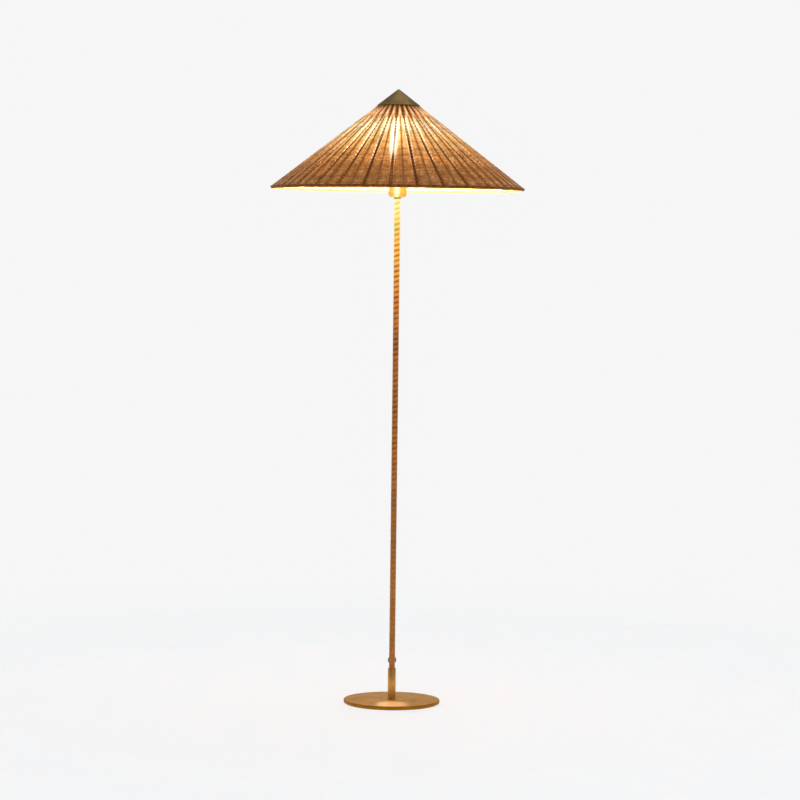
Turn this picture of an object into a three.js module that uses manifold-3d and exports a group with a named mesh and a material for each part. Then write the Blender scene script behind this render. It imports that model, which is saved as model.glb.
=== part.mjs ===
// A floor lamp: a woven cane cone under a brass cap, on a cane-wrapped pole with a round brass base.
// Millimetres, +Z up. The origin is on the floor at the middle of the base, and the front faces -Y.
import * as THREE from "three";
import { mergeVertices } from "three/addons/utils/BufferGeometryUtils.js";
import Module from "manifold-3d";

const wasm = await Module();
wasm.setup();

// Clearances
const seatGap = 0.3; // round pieces that sit in or against one another
const faceGap = 0.05; // flat faces that rest on one another
const cutOverrun = 2; // how far a cutting body runs past what it cuts

// Whole lamp
const lampHeight = 1500; // floor to the tip of the cap
const shadeRadius = 310; // outer edge of the rim hoop
const shadeSlope = THREE.MathUtils.degToRad(37.6); // of the cone, below the horizontal

// Woven shade
const ribCount = 60;
const ribWidth = 2.4;
const ribThickness = 2;
const ribGap = 0.5; // between the ribs and the weave
const ribTurn = THREE.MathUtils.degToRad(2.8); // the first covered rib, to the right of the front
const ribTopLength = 4; // rib left bare above the weave
const weaveThickness = 2;
const weaveTopRadius = 48; // the round opening under the cap
const foldShare = 0.22; // flat part of a fold on each side of a rib, of the ribs' spacing
const ribRingWidth = 3.2; // ring at the ribs' upper ends, along the slope
const hoopWidth = 4.5; // rim hoop, along the slope
const hoopDepth = 8; // rim hoop, through the weave

// Wire frame inside the shade
const wireDiameter = 3.2;
const strutCount = 3;
const rimRingInset = 9; // rim ring's middle above the weave's lower edge
const carrierRadius = 205;
const bridgeWidth = 12;
const bridgeThickness = 1.5;
const armCount = 3;
const armDiameter = 4;
const armOverhang = 3; // arm's end past the carrier ring's middle
const armStartTurn = THREE.MathUtils.degToRad(90);
const fitterRadius = 31;
const fitterThickness = 1.5;
const armRoot = 2.4; // arm's end inside the fitter ring's edge

// Cap
const capRadius = 52;
const capThickness = 1;
const studDiameter = 4;
const studLength = 62; // from the cap's tip down
const capNutDiameter = 13;
const capNutHeight = 6;

// Base
const baseRadius = 117.5;
const baseThickness = 8;
const baseChamfer = 1;
const feltThickness = 1.5;
const feltInset = 4;
const recessRadius = 15;
const recessDepth = 5;
const nippleDiameter = 10;
const nippleBore = 7;
const nippleTail = 0.4; // nipple below the nut
const washerRadius = 13;
const washerThickness = 1.5;
const nutAcrossFlats = 16;
const nutHeight = 3;

// Stem
const stemDiameter = 19.4;
const stemBore = 15.8;
const stemHeight = 86; // floor to its upper edge
const plugHeight = 20;
const stemBushHeight = 26;

// Pole and its wrapping
const poleDiameter = 11.4;
const poleBore = 9.4;
const wrapClearance = 0.55; // between the pole and the strip's inner corners
const stripThickness = 1.25;
const stripWidth = 12.1;
const turnGap = 0.6; // between neighbouring turns, measured upwards
const tuckDepth = 13; // wrapping hidden inside the stem's mouth
const stepsPerTurn = 10;
const joinShares = [0.19, 0.38, 0.51, 0.75]; // strips' joins, of the wrapped height above the stem
const joinGap = 0.6; // between two strips that meet end to end

// Cord outlet at the back of the pole
const outletHeight = 105;
const outletTurn = THREE.MathUtils.degToRad(90);
const bossDiameter = 20;
const bossDepth = 14; // from the pole's axis to the boss's face
const bossWrap = 2.5; // from the pole's axis to the boss's side edges
const bushBore = 6.6;
const bushWall = 0.6;
const bushFlangeDiameter = 12.6;
const bushFlangeThickness = 1.8;
const leadDiameter = 5.5;

// Lamp holder
const collarDiameter = 19;
const collarHeight = 2.8;
const cupDrop = 16.4; // cup's underside below the shade's lower edge
const cupRadius = 22;
const cupHeight = 63.6;
const cupWall = 1;
const cupCorner = 7;
const cupCornerSteps = 3;
const locknutHeight = 3.5;
const threadTail = 3; // pole's thread above the locknut
const insertDepth = 23; // holder's body inside the cup
const insertFlange = 2.5;
const insertFloor = 6;
const insertBodyRadius = 20.4;
const insertThreadRadius = 19.4;
const insertThreadHeight = 14.5;
const insertBoreRadius = 14.5;
const shellRadius = 14.1;
const shellWall = 0.5;
const shellHeight = 30;
const contactRadius = 4;
const contactHeight = 3;
const contactStem = 1.5; // radius of its tail through the floor
const terminalDiameter = 4;
const terminalHeight = 3;
const terminalSpacing = 22;
const ringRadius = 27.5;
const ringHeight = 6;
const ringTeeth = 20;
const ringToothDepth = 0.8;

// Bulb
const bulbRadius = 30;
const bulbLength = 108;
const bulbCapRadius = 13;
const bulbCapHeight = 27;
const bulbTipRadius = 4.5;
const bulbTipHeight = 3;
const bulbShoulder = 4; // height of the cap's cone above its tip
const bulbWall = 0.8;
const bulbNeckRadius = 12;
const bulbArcSteps = 6;

// Numbers of flat sides on the round pieces
const discSides = 48;
const capSides = 40;
const visibleSides = 24;
const hiddenSides = 14;
const wireSides = 5;
const hoopSides = 96;
const ringSides = 40;
const nutTeeth = 12;

// Sizes that follow from the ones above
const turn = 2 * Math.PI;
const slopeCos = Math.cos(shadeSlope);
const slopeSin = Math.sin(shadeSlope);
const weaveSwing = ribThickness / 2 + ribGap + weaveThickness / 2;
const weaveDepth = weaveSwing + weaveThickness / 2;
const capLift = weaveDepth + seatGap + capThickness;
const hoopEnd = (shadeRadius - hoopDepth / 2 * slopeSin) / slopeCos;
const weaveEnd = hoopEnd - hoopWidth - seatGap;
const weaveStart = weaveTopRadius / slopeCos;
const wireDrop = weaveDepth + seatGap + wireDiameter / 2;

const rimHeight = lampHeight + slopePoint(hoopEnd, -hoopDepth / 2).height;
const holderHeight = rimHeight - cupDrop;
const cupTop = holderHeight + cupHeight;
const flangeTop = cupTop + faceGap + insertFlange;
const fitterHeight = flangeTop + 2 * faceGap + ringHeight;
const upperRingHeight = fitterHeight + fitterThickness + seatGap;
const insertFloorTop = cupTop - insertDepth + insertFloor;
const bulbHeight = insertFloorTop + faceGap + contactHeight + seatGap;

const baseTop = feltThickness + faceGap + baseThickness;
const stemFoot = baseTop + faceGap;
const poleFoot = stemFoot + plugHeight + seatGap;
const poleTop = holderHeight + cupWall + faceGap + locknutHeight + threadTail;
const wrapInner = poleDiameter / 2 + wrapClearance;
const wrapOuter = wrapInner + stripThickness;
const wrapTop = holderHeight - faceGap - collarHeight - seatGap;
const pitch = stripWidth + turnGap;
const boreClearance = poleDiameter / 2 + seatGap;

// A point on the shade, from its distance down the slope and its lift off the weave's middle.
// Heights here count from the cap's tip.
function slopePoint(along, lift) {
  return {
    radius: along * slopeCos + lift * slopeSin,
    height: lift * slopeCos - along * slopeSin - capLift / slopeCos,
  };
}

// The same point at an angle round the axis, from the front towards the right.
function shadePoint(along, lift, angle) {
  const { radius, height } = slopePoint(along, lift);
  return new THREE.Vector3(radius * Math.sin(angle), -radius * Math.cos(angle), height);
}

// A body turned about Z, from an outline of [radius, height] pairs that runs anticlockwise.
function turned(outline, sides) {
  const onAxis = outline[0][0] === 0;
  const closed = onAxis ? outline : [...outline, outline[0]];
  const points = closed.map(([radius, height]) => new THREE.Vector2(radius, height));
  return new THREE.LatheGeometry(points, sides).rotateX(Math.PI / 2);
}

function sleeve(inner, outer, bottom, top, sides) {
  return turned([[inner, bottom], [outer, bottom], [outer, top], [inner, top]], sides);
}

function rod(from, to, radius, sides) {
  const along = new THREE.Vector3().subVectors(to, from);
  const geometry = new THREE.CylinderGeometry(radius, radius, along.length(), sides);
  const up = new THREE.Vector3(0, 1, 0);
  geometry.applyQuaternion(new THREE.Quaternion().setFromUnitVectors(up, along.normalize()));
  const middle = new THREE.Vector3().addVectors(from, to).divideScalar(2);
  return geometry.translate(middle.x, middle.y, middle.z);
}

// A round wire ring on the shade's inner or middle surface.
function wireRing(along, lift, diameter, sides) {
  const { radius, height } = slopePoint(along, lift);
  return new THREE.TorusGeometry(radius, diameter / 2, wireSides, sides).translate(0, 0, height);
}

// A flat plate with straight sides and a round hole.
function plate(corners, holeRadius, bottom, height, sides) {
  const shape = new THREE.Shape(corners);
  if (holeRadius > 0) {
    shape.holes.push(new THREE.Path().absarc(0, 0, holeRadius, 0, turn));
  }
  const options = { depth: height, bevelEnabled: false, curveSegments: sides };
  return new THREE.ExtrudeGeometry(shape, options).translate(0, 0, bottom);
}

function hexNut(acrossFlats, holeRadius, bottom, height) {
  const corners = [];
  for (let i = 0; i < 6; i++) {
    const angle = turn * i / 6;
    const radius = acrossFlats / Math.sqrt(3);
    corners.push(new THREE.Vector2(radius * Math.cos(angle), radius * Math.sin(angle)));
  }
  return plate(corners, holeRadius, bottom, height, hiddenSides);
}

// A hand nut: a ring with shallow teeth for grip.
function toothedRing(holeRadius, outerRadius, teeth, toothDepth, bottom, height) {
  const corners = [];
  for (let i = 0; i < 2 * teeth; i++) {
    const radius = i % 2 ? outerRadius - toothDepth : outerRadius;
    const angle = turn * i / (2 * teeth);
    corners.push(new THREE.Vector2(radius * Math.cos(angle), radius * Math.sin(angle)));
  }
  return plate(corners, holeRadius, bottom, height, visibleSides);
}

// Joins outlines of four points each into one skin.
// The last outline meets the first, or both ends are closed flat.
function lofted(outlines, isLoop) {
  const corners = outlines[0].length;
  const faces = [];
  const spans = isLoop ? outlines.length : outlines.length - 1;
  for (let i = 0; i < spans; i++) {
    const here = i * corners;
    const next = ((i + 1) % outlines.length) * corners;
    for (let k = 0; k < corners; k++) {
      const l = (k + 1) % corners;
      faces.push(here + k, next + k, next + l, here + k, next + l, here + l);
    }
  }
  if (!isLoop) {
    const last = (outlines.length - 1) * corners;
    faces.push(0, 1, 2, 0, 2, 3);
    faces.push(last, last + 2, last + 1, last, last + 3, last + 2);
  }
  return skin(outlines.flat(), faces);
}

// A geometry from its points and from the three point numbers of each face.
function skin(points, faces) {
  const vertices = points.flatMap((point) => [point.x, point.y, point.z]);
  const geometry = new THREE.BufferGeometry();
  geometry.setAttribute("position", new THREE.Float32BufferAttribute(vertices, 3));
  return geometry.setIndex(faces);
}

// Geometry to solid and back, for cuts and joins.
function solidOf(geometry) {
  const bare = geometry.clone();
  bare.deleteAttribute("normal");
  bare.deleteAttribute("uv");
  const merged = mergeVertices(bare, 1e-4);
  return new wasm.Manifold(new wasm.Mesh({
    numProp: 3,
    vertProperties: merged.attributes.position.array,
    triVerts: new Uint32Array(merged.index.array),
  }));
}

function geometryOf(solid) {
  const { vertProperties, triVerts } = solid.getMesh();
  const geometry = new THREE.BufferGeometry();
  geometry.setAttribute("position", new THREE.BufferAttribute(vertProperties, 3));
  return geometry.setIndex(new THREE.BufferAttribute(triVerts, 1));
}

function joined(geometries) {
  return geometryOf(geometries.map(solidOf).reduce((whole, piece) => whole.add(piece)));
}

function cut(geometry, cutters) {
  return geometryOf(cutters.map(solidOf).reduce((rest, tool) => rest.subtract(tool), solidOf(geometry)));
}

// Finishes
const finishes = {
  brass: { color: 0xb08043, roughness: 0.35, metalness: 1 },
  capBrass: { color: 0x7e6640, roughness: 0.45, metalness: 1 },
  darkBrass: { color: 0x5d4325, roughness: 0.5, metalness: 1 },
  steel: { color: 0x9a9a98, roughness: 0.4, metalness: 1 },
  cane: { color: 0xc08a50, roughness: 0.55, metalness: 0 },
  rib: { color: 0x8a6b4a, roughness: 0.65, metalness: 0 },
  wrapCane: { color: 0xa8713c, roughness: 0.5, metalness: 0 },
  felt: { color: 0x2b2622, roughness: 0.95, metalness: 0 },
  porcelain: { color: 0xece6da, roughness: 0.3, metalness: 0 },
  bakelite: { color: 0x2a211b, roughness: 0.4, metalness: 0 },
  outlet: { color: 0x6e5140, roughness: 0.5, metalness: 0 },
  cable: { color: 0x30281f, roughness: 0.8, metalness: 0 },
  bulbCap: { color: 0xb9b4a8, roughness: 0.35, metalness: 1 },
  bulbGlass: { color: 0xfff1d2, roughness: 0.35, metalness: 0 },
};

function addPiece(group, name, geometry, finish) {
  const mesh = new THREE.Mesh(geometry, new THREE.MeshStandardMaterial(finish));
  mesh.name = name;
  group.add(mesh);
}

// Base: a heavy disc on felt, held to the stem by a hollow threaded nipple with a washer and a nut.
function makeBase() {
  const base = new THREE.Group();
  const bottom = feltThickness + faceGap;
  const recessTop = bottom + recessDepth;
  const threadHole = nippleDiameter / 2 + seatGap;

  addPiece(base, "base_felt",
    sleeve(recessRadius, baseRadius - feltInset, 0, feltThickness, discSides), finishes.felt);

  const disc = turned([
    [recessRadius, bottom],
    [baseRadius - baseChamfer, bottom],
    [baseRadius, bottom + baseChamfer],
    [baseRadius, baseTop - baseChamfer],
    [baseRadius - baseChamfer, baseTop],
    [threadHole, baseTop],
    [threadHole, recessTop],
    [recessRadius, recessTop],
  ], discSides);
  addPiece(base, "base_plate", disc, finishes.brass);

  const washerTop = recessTop - faceGap;
  const nutTop = washerTop - washerThickness - faceGap;
  const nutBottom = nutTop - nutHeight;
  addPiece(base, "base_washer",
    sleeve(threadHole, washerRadius, washerTop - washerThickness, washerTop, hiddenSides),
    finishes.steel);
  addPiece(base, "base_nut",
    hexNut(nutAcrossFlats, threadHole, nutBottom, nutHeight), finishes.steel);
  addPiece(base, "base_nipple",
    sleeve(nippleBore / 2, nippleDiameter / 2, nutBottom - nippleTail,
      stemFoot + plugHeight - nippleTail, hiddenSides),
    finishes.steel);
  return base;
}

// Stem: the bare brass tube at the foot, a plug that takes the nipple, and a bush round the pole.
function makeStem() {
  const stem = new THREE.Group();
  const fit = stemBore / 2 - seatGap;
  addPiece(stem, "stem_tube",
    sleeve(stemBore / 2, stemDiameter / 2, stemFoot, stemHeight, visibleSides), finishes.brass);
  addPiece(stem, "stem_plug",
    sleeve(nippleDiameter / 2 + seatGap, fit, stemFoot, stemFoot + plugHeight, hiddenSides),
    finishes.brass);
  addPiece(stem, "stem_bush",
    sleeve(boreClearance, fit, poleFoot, poleFoot + stemBushHeight, hiddenSides),
    finishes.brass);
  return stem;
}

// One outline of the cane strip, a number of turns above the cord outlet.
// It climbs to the right as it crosses the front.
function stripOutline(turns) {
  const angle = outletTurn + turns * turn;
  const middle = outletHeight + turns * pitch;
  const at = (radius, height) =>
    new THREE.Vector3(radius * Math.cos(angle), radius * Math.sin(angle), height);
  return [
    at(wrapInner, middle - stripWidth / 2),
    at(wrapOuter, middle - stripWidth / 2),
    at(wrapOuter, middle + stripWidth / 2),
    at(wrapInner, middle + stripWidth / 2),
  ];
}

// Least distance between the upper edges of a strip's turns and the lower edges of the next turns.
function leastTurnGap(outlines) {
  const samplesPerStep = 4;
  const edge = (corner) => outlines.slice(1).flatMap((outline, i) => {
    const points = [];
    for (let k = 0; k < samplesPerStep; k++) {
      points.push(outlines[i][corner].clone().lerp(outline[corner], k / samplesPerStep));
    }
    return points;
  });
  const samplesPerTurn = stepsPerTurn * samplesPerStep;
  let least = Infinity;
  for (const [upper, lower] of [[edge(2), edge(1)], [edge(3), edge(0)]]) {
    upper.forEach((point, i) => {
      const nearby = lower.slice(i + samplesPerTurn / 2, i + samplesPerTurn * 3 / 2);
      nearby.forEach((other) => {
        least = Math.min(least, point.distanceTo(other));
      });
    });
  }
  return least;
}

// Pole: a steel tube wrapped with flat cane strips that meet end to end, and the lead inside it.
function makePole() {
  const pole = new THREE.Group();
  const toBack = (radius, from, to, sides) => rod(
    new THREE.Vector3(0, from, outletHeight), new THREE.Vector3(0, to, outletHeight), radius, sides);
  const neckRadius = bushBore / 2 + bushWall;
  const drill = toBack(neckRadius + seatGap, 0, bossDepth + cutOverrun, visibleSides);
  const tube = sleeve(poleBore / 2, poleDiameter / 2, poleFoot, poleTop, hiddenSides);
  addPiece(pole, "pole_tube", cut(tube, [drill]), finishes.steel);

  const wrapFoot = stemHeight - tuckDepth;
  const firstTurn = (wrapFoot + stripWidth / 2 - outletHeight) / pitch;
  const lastTurn = (wrapTop + stripWidth / 2 - outletHeight) / pitch;
  const joinTurns = joinShares.map((share) =>
    (stemHeight + share * (wrapTop - stemHeight) - outletHeight) / pitch);
  const gapTurns = joinGap / (turn * wrapOuter);
  const ends = [firstTurn, ...joinTurns, lastTurn];
  const aboveWrap = sleeve(0, stemBore, wrapTop, wrapTop + stripWidth * 2, hiddenSides);
  for (let i = 0; i + 1 < ends.length; i++) {
    const from = ends[i] + (i > 0 ? gapTurns : 0);
    const steps = Math.round((ends[i + 1] - from) * stepsPerTurn);
    const outlines = [];
    for (let k = 0; k <= steps; k++) {
      outlines.push(stripOutline(from + (ends[i + 1] - from) * k / steps));
    }
    const name = `cane_wrap_${i + 1}`;
    const turns = (ends[i + 1] - from).toFixed(1);
    console.log(`${name}: ${turns} turns, least gap ${leastTurnGap(outlines).toFixed(2)} mm`);
    const cutters = [];
    if (i === 0) cutters.push(drill);
    if (i + 2 === ends.length) cutters.push(aboveWrap);
    const strip = lofted(outlines, false);
    addPiece(pole, name, cutters.length ? cut(strip, cutters) : strip, finishes.wrapCane);
  }

  const bossBody = toBack(bossDiameter / 2, bossWrap, bossDepth, visibleSides);
  const saddle = sleeve(0, wrapOuter + seatGap, outletHeight - bossDiameter,
    outletHeight + bossDiameter, visibleSides);
  addPiece(pole, "cord_outlet_boss", cut(bossBody, [saddle, drill]), finishes.outlet);

  const neckStart = poleBore / 2 + seatGap;
  const flangeStart = bossDepth + faceGap;
  const bush = turned([
    [bushBore / 2, neckStart],
    [neckRadius, neckStart],
    [neckRadius, flangeStart],
    [bushFlangeDiameter / 2, flangeStart],
    [bushFlangeDiameter / 2, flangeStart + bushFlangeThickness],
    [bushBore / 2, flangeStart + bushFlangeThickness],
  ], visibleSides).rotateX(-Math.PI / 2).translate(0, 0, outletHeight);
  addPiece(pole, "cord_outlet_bush", bush, finishes.bakelite);

  const leadOffset = poleBore / 2 - seatGap - leadDiameter / 2;
  const lead = new THREE.CylinderGeometry(leadDiameter / 2, leadDiameter / 2, 1, hiddenSides);
  const leadTop = cupTop - insertDepth - terminalHeight - seatGap;
  const leadFoot = outletHeight - bushBore / 2;
  lead.rotateX(Math.PI / 2).scale(1, 1, leadTop - leadFoot);
  lead.translate(0, -leadOffset, (leadTop + leadFoot) / 2);
  addPiece(pole, "inner_lead", lead, finishes.cable);
  return pole;
}

// Points of a quarter round corner, as [radius, height] pairs, from its lower to its upper end.
function cornerArc(centreRadius, centreHeight, size, steps) {
  const points = [];
  for (let i = 0; i <= steps; i++) {
    const angle = Math.PI / 2 * (i / steps - 1);
    points.push([centreRadius + size * Math.cos(angle), centreHeight + size * Math.sin(angle)]);
  }
  return points;
}

// Lamp holder: a brass cup on the pole's thread, the holder's insert in it, and two shade rings.
function makeHolder() {
  const holder = new THREE.Group();
  const threadHole = boreClearance;
  addPiece(holder, "pole_collar",
    sleeve(threadHole, collarDiameter / 2, holderHeight - faceGap - collarHeight,
      holderHeight - faceGap, visibleSides),
    finishes.darkBrass);

  const cornerRadius = cupRadius - cupCorner;
  const cornerHeight = holderHeight + cupCorner;
  const cup = turned([
    [threadHole, holderHeight],
    ...cornerArc(cornerRadius, cornerHeight, cupCorner, cupCornerSteps),
    [cupRadius, cupTop],
    [cupRadius - cupWall, cupTop],
    ...cornerArc(cornerRadius, cornerHeight, cupCorner - cupWall, cupCornerSteps).reverse(),
    [threadHole, holderHeight + cupWall],
  ], visibleSides);
  addPiece(holder, "holder_cup", cup, finishes.brass);
  addPiece(holder, "cup_locknut",
    hexNut(nutAcrossFlats, threadHole, holderHeight + cupWall + faceGap, locknutHeight),
    finishes.steel);

  const insertFoot = cupTop - insertDepth;
  const insertTop = flangeTop + insertThreadHeight;
  const insert = turned([
    [contactStem + seatGap, insertFoot],
    [insertBodyRadius, insertFoot],
    [insertBodyRadius, cupTop + faceGap],
    [cupRadius, cupTop + faceGap],
    [cupRadius, flangeTop],
    [insertThreadRadius, flangeTop],
    [insertThreadRadius, insertTop],
    [insertBoreRadius, insertTop],
    [insertBoreRadius, insertFloorTop],
    [contactStem + seatGap, insertFloorTop],
  ], visibleSides);
  addPiece(holder, "holder_insert", insert, finishes.porcelain);

  const inside = insertFloorTop + faceGap;
  addPiece(holder, "screw_shell",
    sleeve(shellRadius - shellWall, shellRadius, inside, inside + shellHeight, visibleSides),
    finishes.brass);
  const contact = turned([
    [0, insertFoot],
    [contactStem, insertFoot],
    [contactStem, inside],
    [contactRadius, inside],
    [contactRadius / 2, inside + contactHeight],
    [0, inside + contactHeight],
  ], hiddenSides);
  addPiece(holder, "centre_contact", contact, finishes.brass);
  for (const [side, name] of [[-1, "terminal_screw_left"], [1, "terminal_screw_right"]]) {
    const top = insertFoot - faceGap;
    const screw = sleeve(0, terminalDiameter / 2, top - terminalHeight, top, hiddenSides);
    addPiece(holder, name, screw.translate(side * terminalSpacing / 2, 0, 0), finishes.brass);
  }

  const ringBore = insertThreadRadius + seatGap;
  addPiece(holder, "shade_ring_lower",
    toothedRing(ringBore, ringRadius, ringTeeth, ringToothDepth, flangeTop + faceGap, ringHeight),
    finishes.bakelite);
  addPiece(holder, "shade_ring_upper",
    toothedRing(ringBore, ringRadius, ringTeeth, ringToothDepth, upperRingHeight, ringHeight),
    finishes.bakelite);
  return holder;
}

// Bulb: its own origin is the tip of its cap.
function makeBulb() {
  const bulb = new THREE.Group();
  bulb.position.z = bulbHeight;
  const cap = turned([
    [0, 0],
    [bulbTipRadius, 0],
    [bulbTipRadius, bulbTipHeight],
    [bulbCapRadius, bulbTipHeight + bulbShoulder],
    [bulbCapRadius, bulbCapHeight],
    [bulbNeckRadius - seatGap, bulbCapHeight],
    [bulbNeckRadius - seatGap, bulbTipHeight + bulbShoulder],
    [0, bulbTipHeight + bulbShoulder],
  ], visibleSides);
  addPiece(bulb, "bulb_cap", cap, finishes.bulbCap);

  const globeCentre = bulbLength - bulbRadius;
  const neckFoot = bulbCapHeight + faceGap;
  const toNeck = Math.atan2(neckFoot - globeCentre, bulbNeckRadius);
  const neckDistance = Math.hypot(neckFoot - globeCentre, bulbNeckRadius);
  const startAngle = toNeck + Math.acos(bulbRadius / neckDistance);
  const arc = (radius) => {
    const points = [];
    for (let i = 0; i <= bulbArcSteps; i++) {
      const angle = startAngle + (Math.PI / 2 - startAngle) * i / bulbArcSteps;
      points.push([radius * Math.cos(angle), globeCentre + radius * Math.sin(angle)]);
    }
    points[bulbArcSteps][0] = 0;
    return points;
  };
  const glass = turned([
    ...arc(bulbRadius - bulbWall).reverse(),
    [bulbNeckRadius - bulbWall, neckFoot],
    [bulbNeckRadius, neckFoot],
    ...arc(bulbRadius),
  ], visibleSides);
  addPiece(bulb, "bulb_glass", glass, finishes.bulbGlass);
  return bulb;
}

// The woven cone: one skin that swings out over every second rib and in under the others.
function weaveGeometry() {
  const outlines = [];
  for (let i = 0; i < ribCount; i++) {
    const middle = i % 2 ? -weaveSwing : weaveSwing;
    const inner = middle - weaveThickness / 2;
    const outer = middle + weaveThickness / 2;
    for (const side of [-1, 1]) {
      const angle = ribTurn + (i + side * foldShare) * turn / ribCount;
      outlines.push([
        shadePoint(weaveEnd, inner, angle),
        shadePoint(weaveEnd, outer, angle),
        shadePoint(weaveStart, outer, angle),
        shadePoint(weaveStart, inner, angle),
      ]);
    }
  }
  return lofted(outlines, true);
}

// The ribs and the ring at their upper ends: one comb bent round, each rib growing out of the ring's edge.
function ribsGeometry() {
  const ringStart = weaveStart - ribTopLength;
  const ringEnd = ringStart + ribRingWidth;
  const low = -ribThickness / 2;
  const high = ribThickness / 2;
  const halfRib = Math.asin(ribWidth / 2 / slopePoint(ringEnd, low).radius);
  const vertices = [];
  const faces = [];
  const addQuad = (a, b, c, d) => faces.push(a, b, c, a, c, d);
  const sections = 2 * ribCount;
  for (let i = 0; i < ribCount; i++) {
    const angle = ribTurn + turn * i / ribCount;
    for (const side of [-1, 1]) {
      const edge = angle + side * halfRib;
      vertices.push(shadePoint(ringStart, low, edge), shadePoint(ringEnd, low, edge),
        shadePoint(ringEnd, high, edge), shadePoint(ringStart, high, edge));
    }
  }
  for (let i = 0; i < sections; i++) {
    const here = 4 * i;
    const next = 4 * ((i + 1) % sections);
    addQuad(here, next, next + 1, here + 1);
    addQuad(here + 2, next + 2, next + 3, here + 3);
    addQuad(here + 3, next + 3, next, here);
    if (i % 2) addQuad(here + 1, next + 1, next + 2, here + 2);
  }
  for (let i = 0; i < ribCount; i++) {
    const angle = ribTurn + turn * i / ribCount;
    const across = new THREE.Vector3(Math.cos(angle), Math.sin(angle), 0).multiplyScalar(ribWidth / 2);
    const [left, right] = [8 * i, 8 * i + 4];
    const end = vertices.length;
    for (const lift of [low, high]) {
      const middle = shadePoint(weaveEnd, lift, angle);
      vertices.push(middle.clone().sub(across), middle.clone().add(across));
    }
    addQuad(left + 1, right + 1, end + 1, end);
    addQuad(right + 1, right + 2, end + 3, end + 1);
    addQuad(right + 2, left + 2, end + 2, end + 3);
    addQuad(left + 2, left + 1, end, end + 2);
    addQuad(end, end + 1, end + 3, end + 2);
  }
  return skin(vertices, faces);
}

// Wire frame under the weave: three rings, straight struts, and a bar across the top for the cap.
function frameGeometry() {
  const crown = weaveStart + wireDiameter / 2;
  const rim = weaveEnd - rimRingInset;
  const carrier = (carrierRadius + wireDrop * slopeSin) / slopeCos;
  const wires = [crown, carrier, rim].map((along) => wireRing(along, -wireDrop, wireDiameter, ringSides));
  for (let i = 0; i < strutCount; i++) {
    const angle = turn * i / strutCount;
    const ends = [crown, rim].map((along) => shadePoint(along, -wireDrop, angle));
    wires.push(rod(ends[0], ends[1], wireDiameter / 2, wireSides));
  }
  const { radius, height } = slopePoint(crown, -wireDrop);
  const corners = [[-1, -1], [1, -1], [1, 1], [-1, 1]].map(([x, y]) =>
    new THREE.Vector2(x * radius, y * bridgeWidth / 2));
  const hole = studDiameter / 2 + seatGap;
  wires.push(plate(corners, hole, height - bridgeThickness / 2, bridgeThickness, hiddenSides));
  return joined(wires);
}

// Spider: the ring that the shade rings hold, with arms out to the underside of the carrier ring.
function spiderGeometry() {
  const bottom = fitterHeight - lampHeight;
  const pieces = [
    sleeve(insertThreadRadius + 2 * seatGap, fitterRadius, bottom, bottom + fitterThickness, visibleSides),
  ];
  const carrier = (carrierRadius + wireDrop * slopeSin) / slopeCos;
  const seat = slopePoint(carrier, -wireDrop).height - wireDiameter / 2 - seatGap - armDiameter / 2;
  const rootRadius = fitterRadius - armRoot;
  const rootHeight = bottom + fitterThickness / 2;
  const rise = (seat - rootHeight) / (carrierRadius - rootRadius);
  for (let i = 0; i < armCount; i++) {
    const angle = armStartTurn + turn * i / armCount;
    const at = (radius, height) =>
      new THREE.Vector3(radius * Math.cos(angle), radius * Math.sin(angle), height);
    const end = at(carrierRadius + armOverhang, seat + rise * armOverhang);
    pieces.push(rod(at(rootRadius, rootHeight), end, armDiameter / 2, wireSides));
  }
  return joined(pieces);
}

// Cap: a thin cone with a threaded stud under its tip, drawn down by a hand nut below the bar.
function capGeometry() {
  const inner = capLift - capThickness;
  const edgeAlong = (capRadius - capLift * slopeSin) / slopeCos;
  const edgeOuter = slopePoint(edgeAlong, capLift);
  const edgeInner = slopePoint(edgeAlong, inner);
  const studRadius = studDiameter / 2;
  const studTop = slopePoint((studRadius - inner * slopeSin) / slopeCos, inner);
  return turned([
    [0, -studLength],
    [studRadius, -studLength],
    [studRadius, studTop.height],
    [edgeInner.radius, edgeInner.height],
    [edgeOuter.radius, edgeOuter.height],
    [0, 0],
  ], capSides);
}

// Shade: everything that turns on the lamp holder. Its own origin is the tip of the cap.
function makeShade() {
  const shade = new THREE.Group();
  shade.position.z = lampHeight;
  addPiece(shade, "shade_weave", weaveGeometry(), finishes.cane);
  addPiece(shade, "shade_ribs", ribsGeometry(), finishes.rib);
  const hoop = [[hoopEnd, -1], [hoopEnd, 1], [hoopEnd - hoopWidth, 1], [hoopEnd - hoopWidth, -1]];
  const hoopOutline = hoop.map(([along, side]) => {
    const { radius, height } = slopePoint(along, side * hoopDepth / 2);
    return [radius, height];
  });
  addPiece(shade, "rim_hoop", turned(hoopOutline, hoopSides), finishes.cane);
  addPiece(shade, "shade_frame", frameGeometry(), finishes.steel);
  addPiece(shade, "shade_spider", spiderGeometry(), finishes.steel);
  addPiece(shade, "shade_cap", capGeometry(), finishes.capBrass);

  const bridge = slopePoint(weaveStart + wireDiameter / 2, -wireDrop).height;
  const nutTop = bridge - bridgeThickness / 2 - seatGap;
  addPiece(shade, "cap_nut",
    toothedRing(studDiameter / 2 + seatGap, capNutDiameter / 2, nutTeeth, ringToothDepth,
      nutTop - capNutHeight, capNutHeight),
    finishes.brass);
  return shade;
}

const lamp = new THREE.Group();
lamp.add(makeBase(), makeStem(), makePole(), makeHolder(), makeBulb(), makeShade());

export default lamp;
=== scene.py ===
"""A woven cane floor lamp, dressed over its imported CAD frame. Metres, +Z up, the front faces -Y."""
import math
import random
from types import SimpleNamespace

import bpy
import numpy as np
from mathutils import Matrix, Vector


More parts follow.
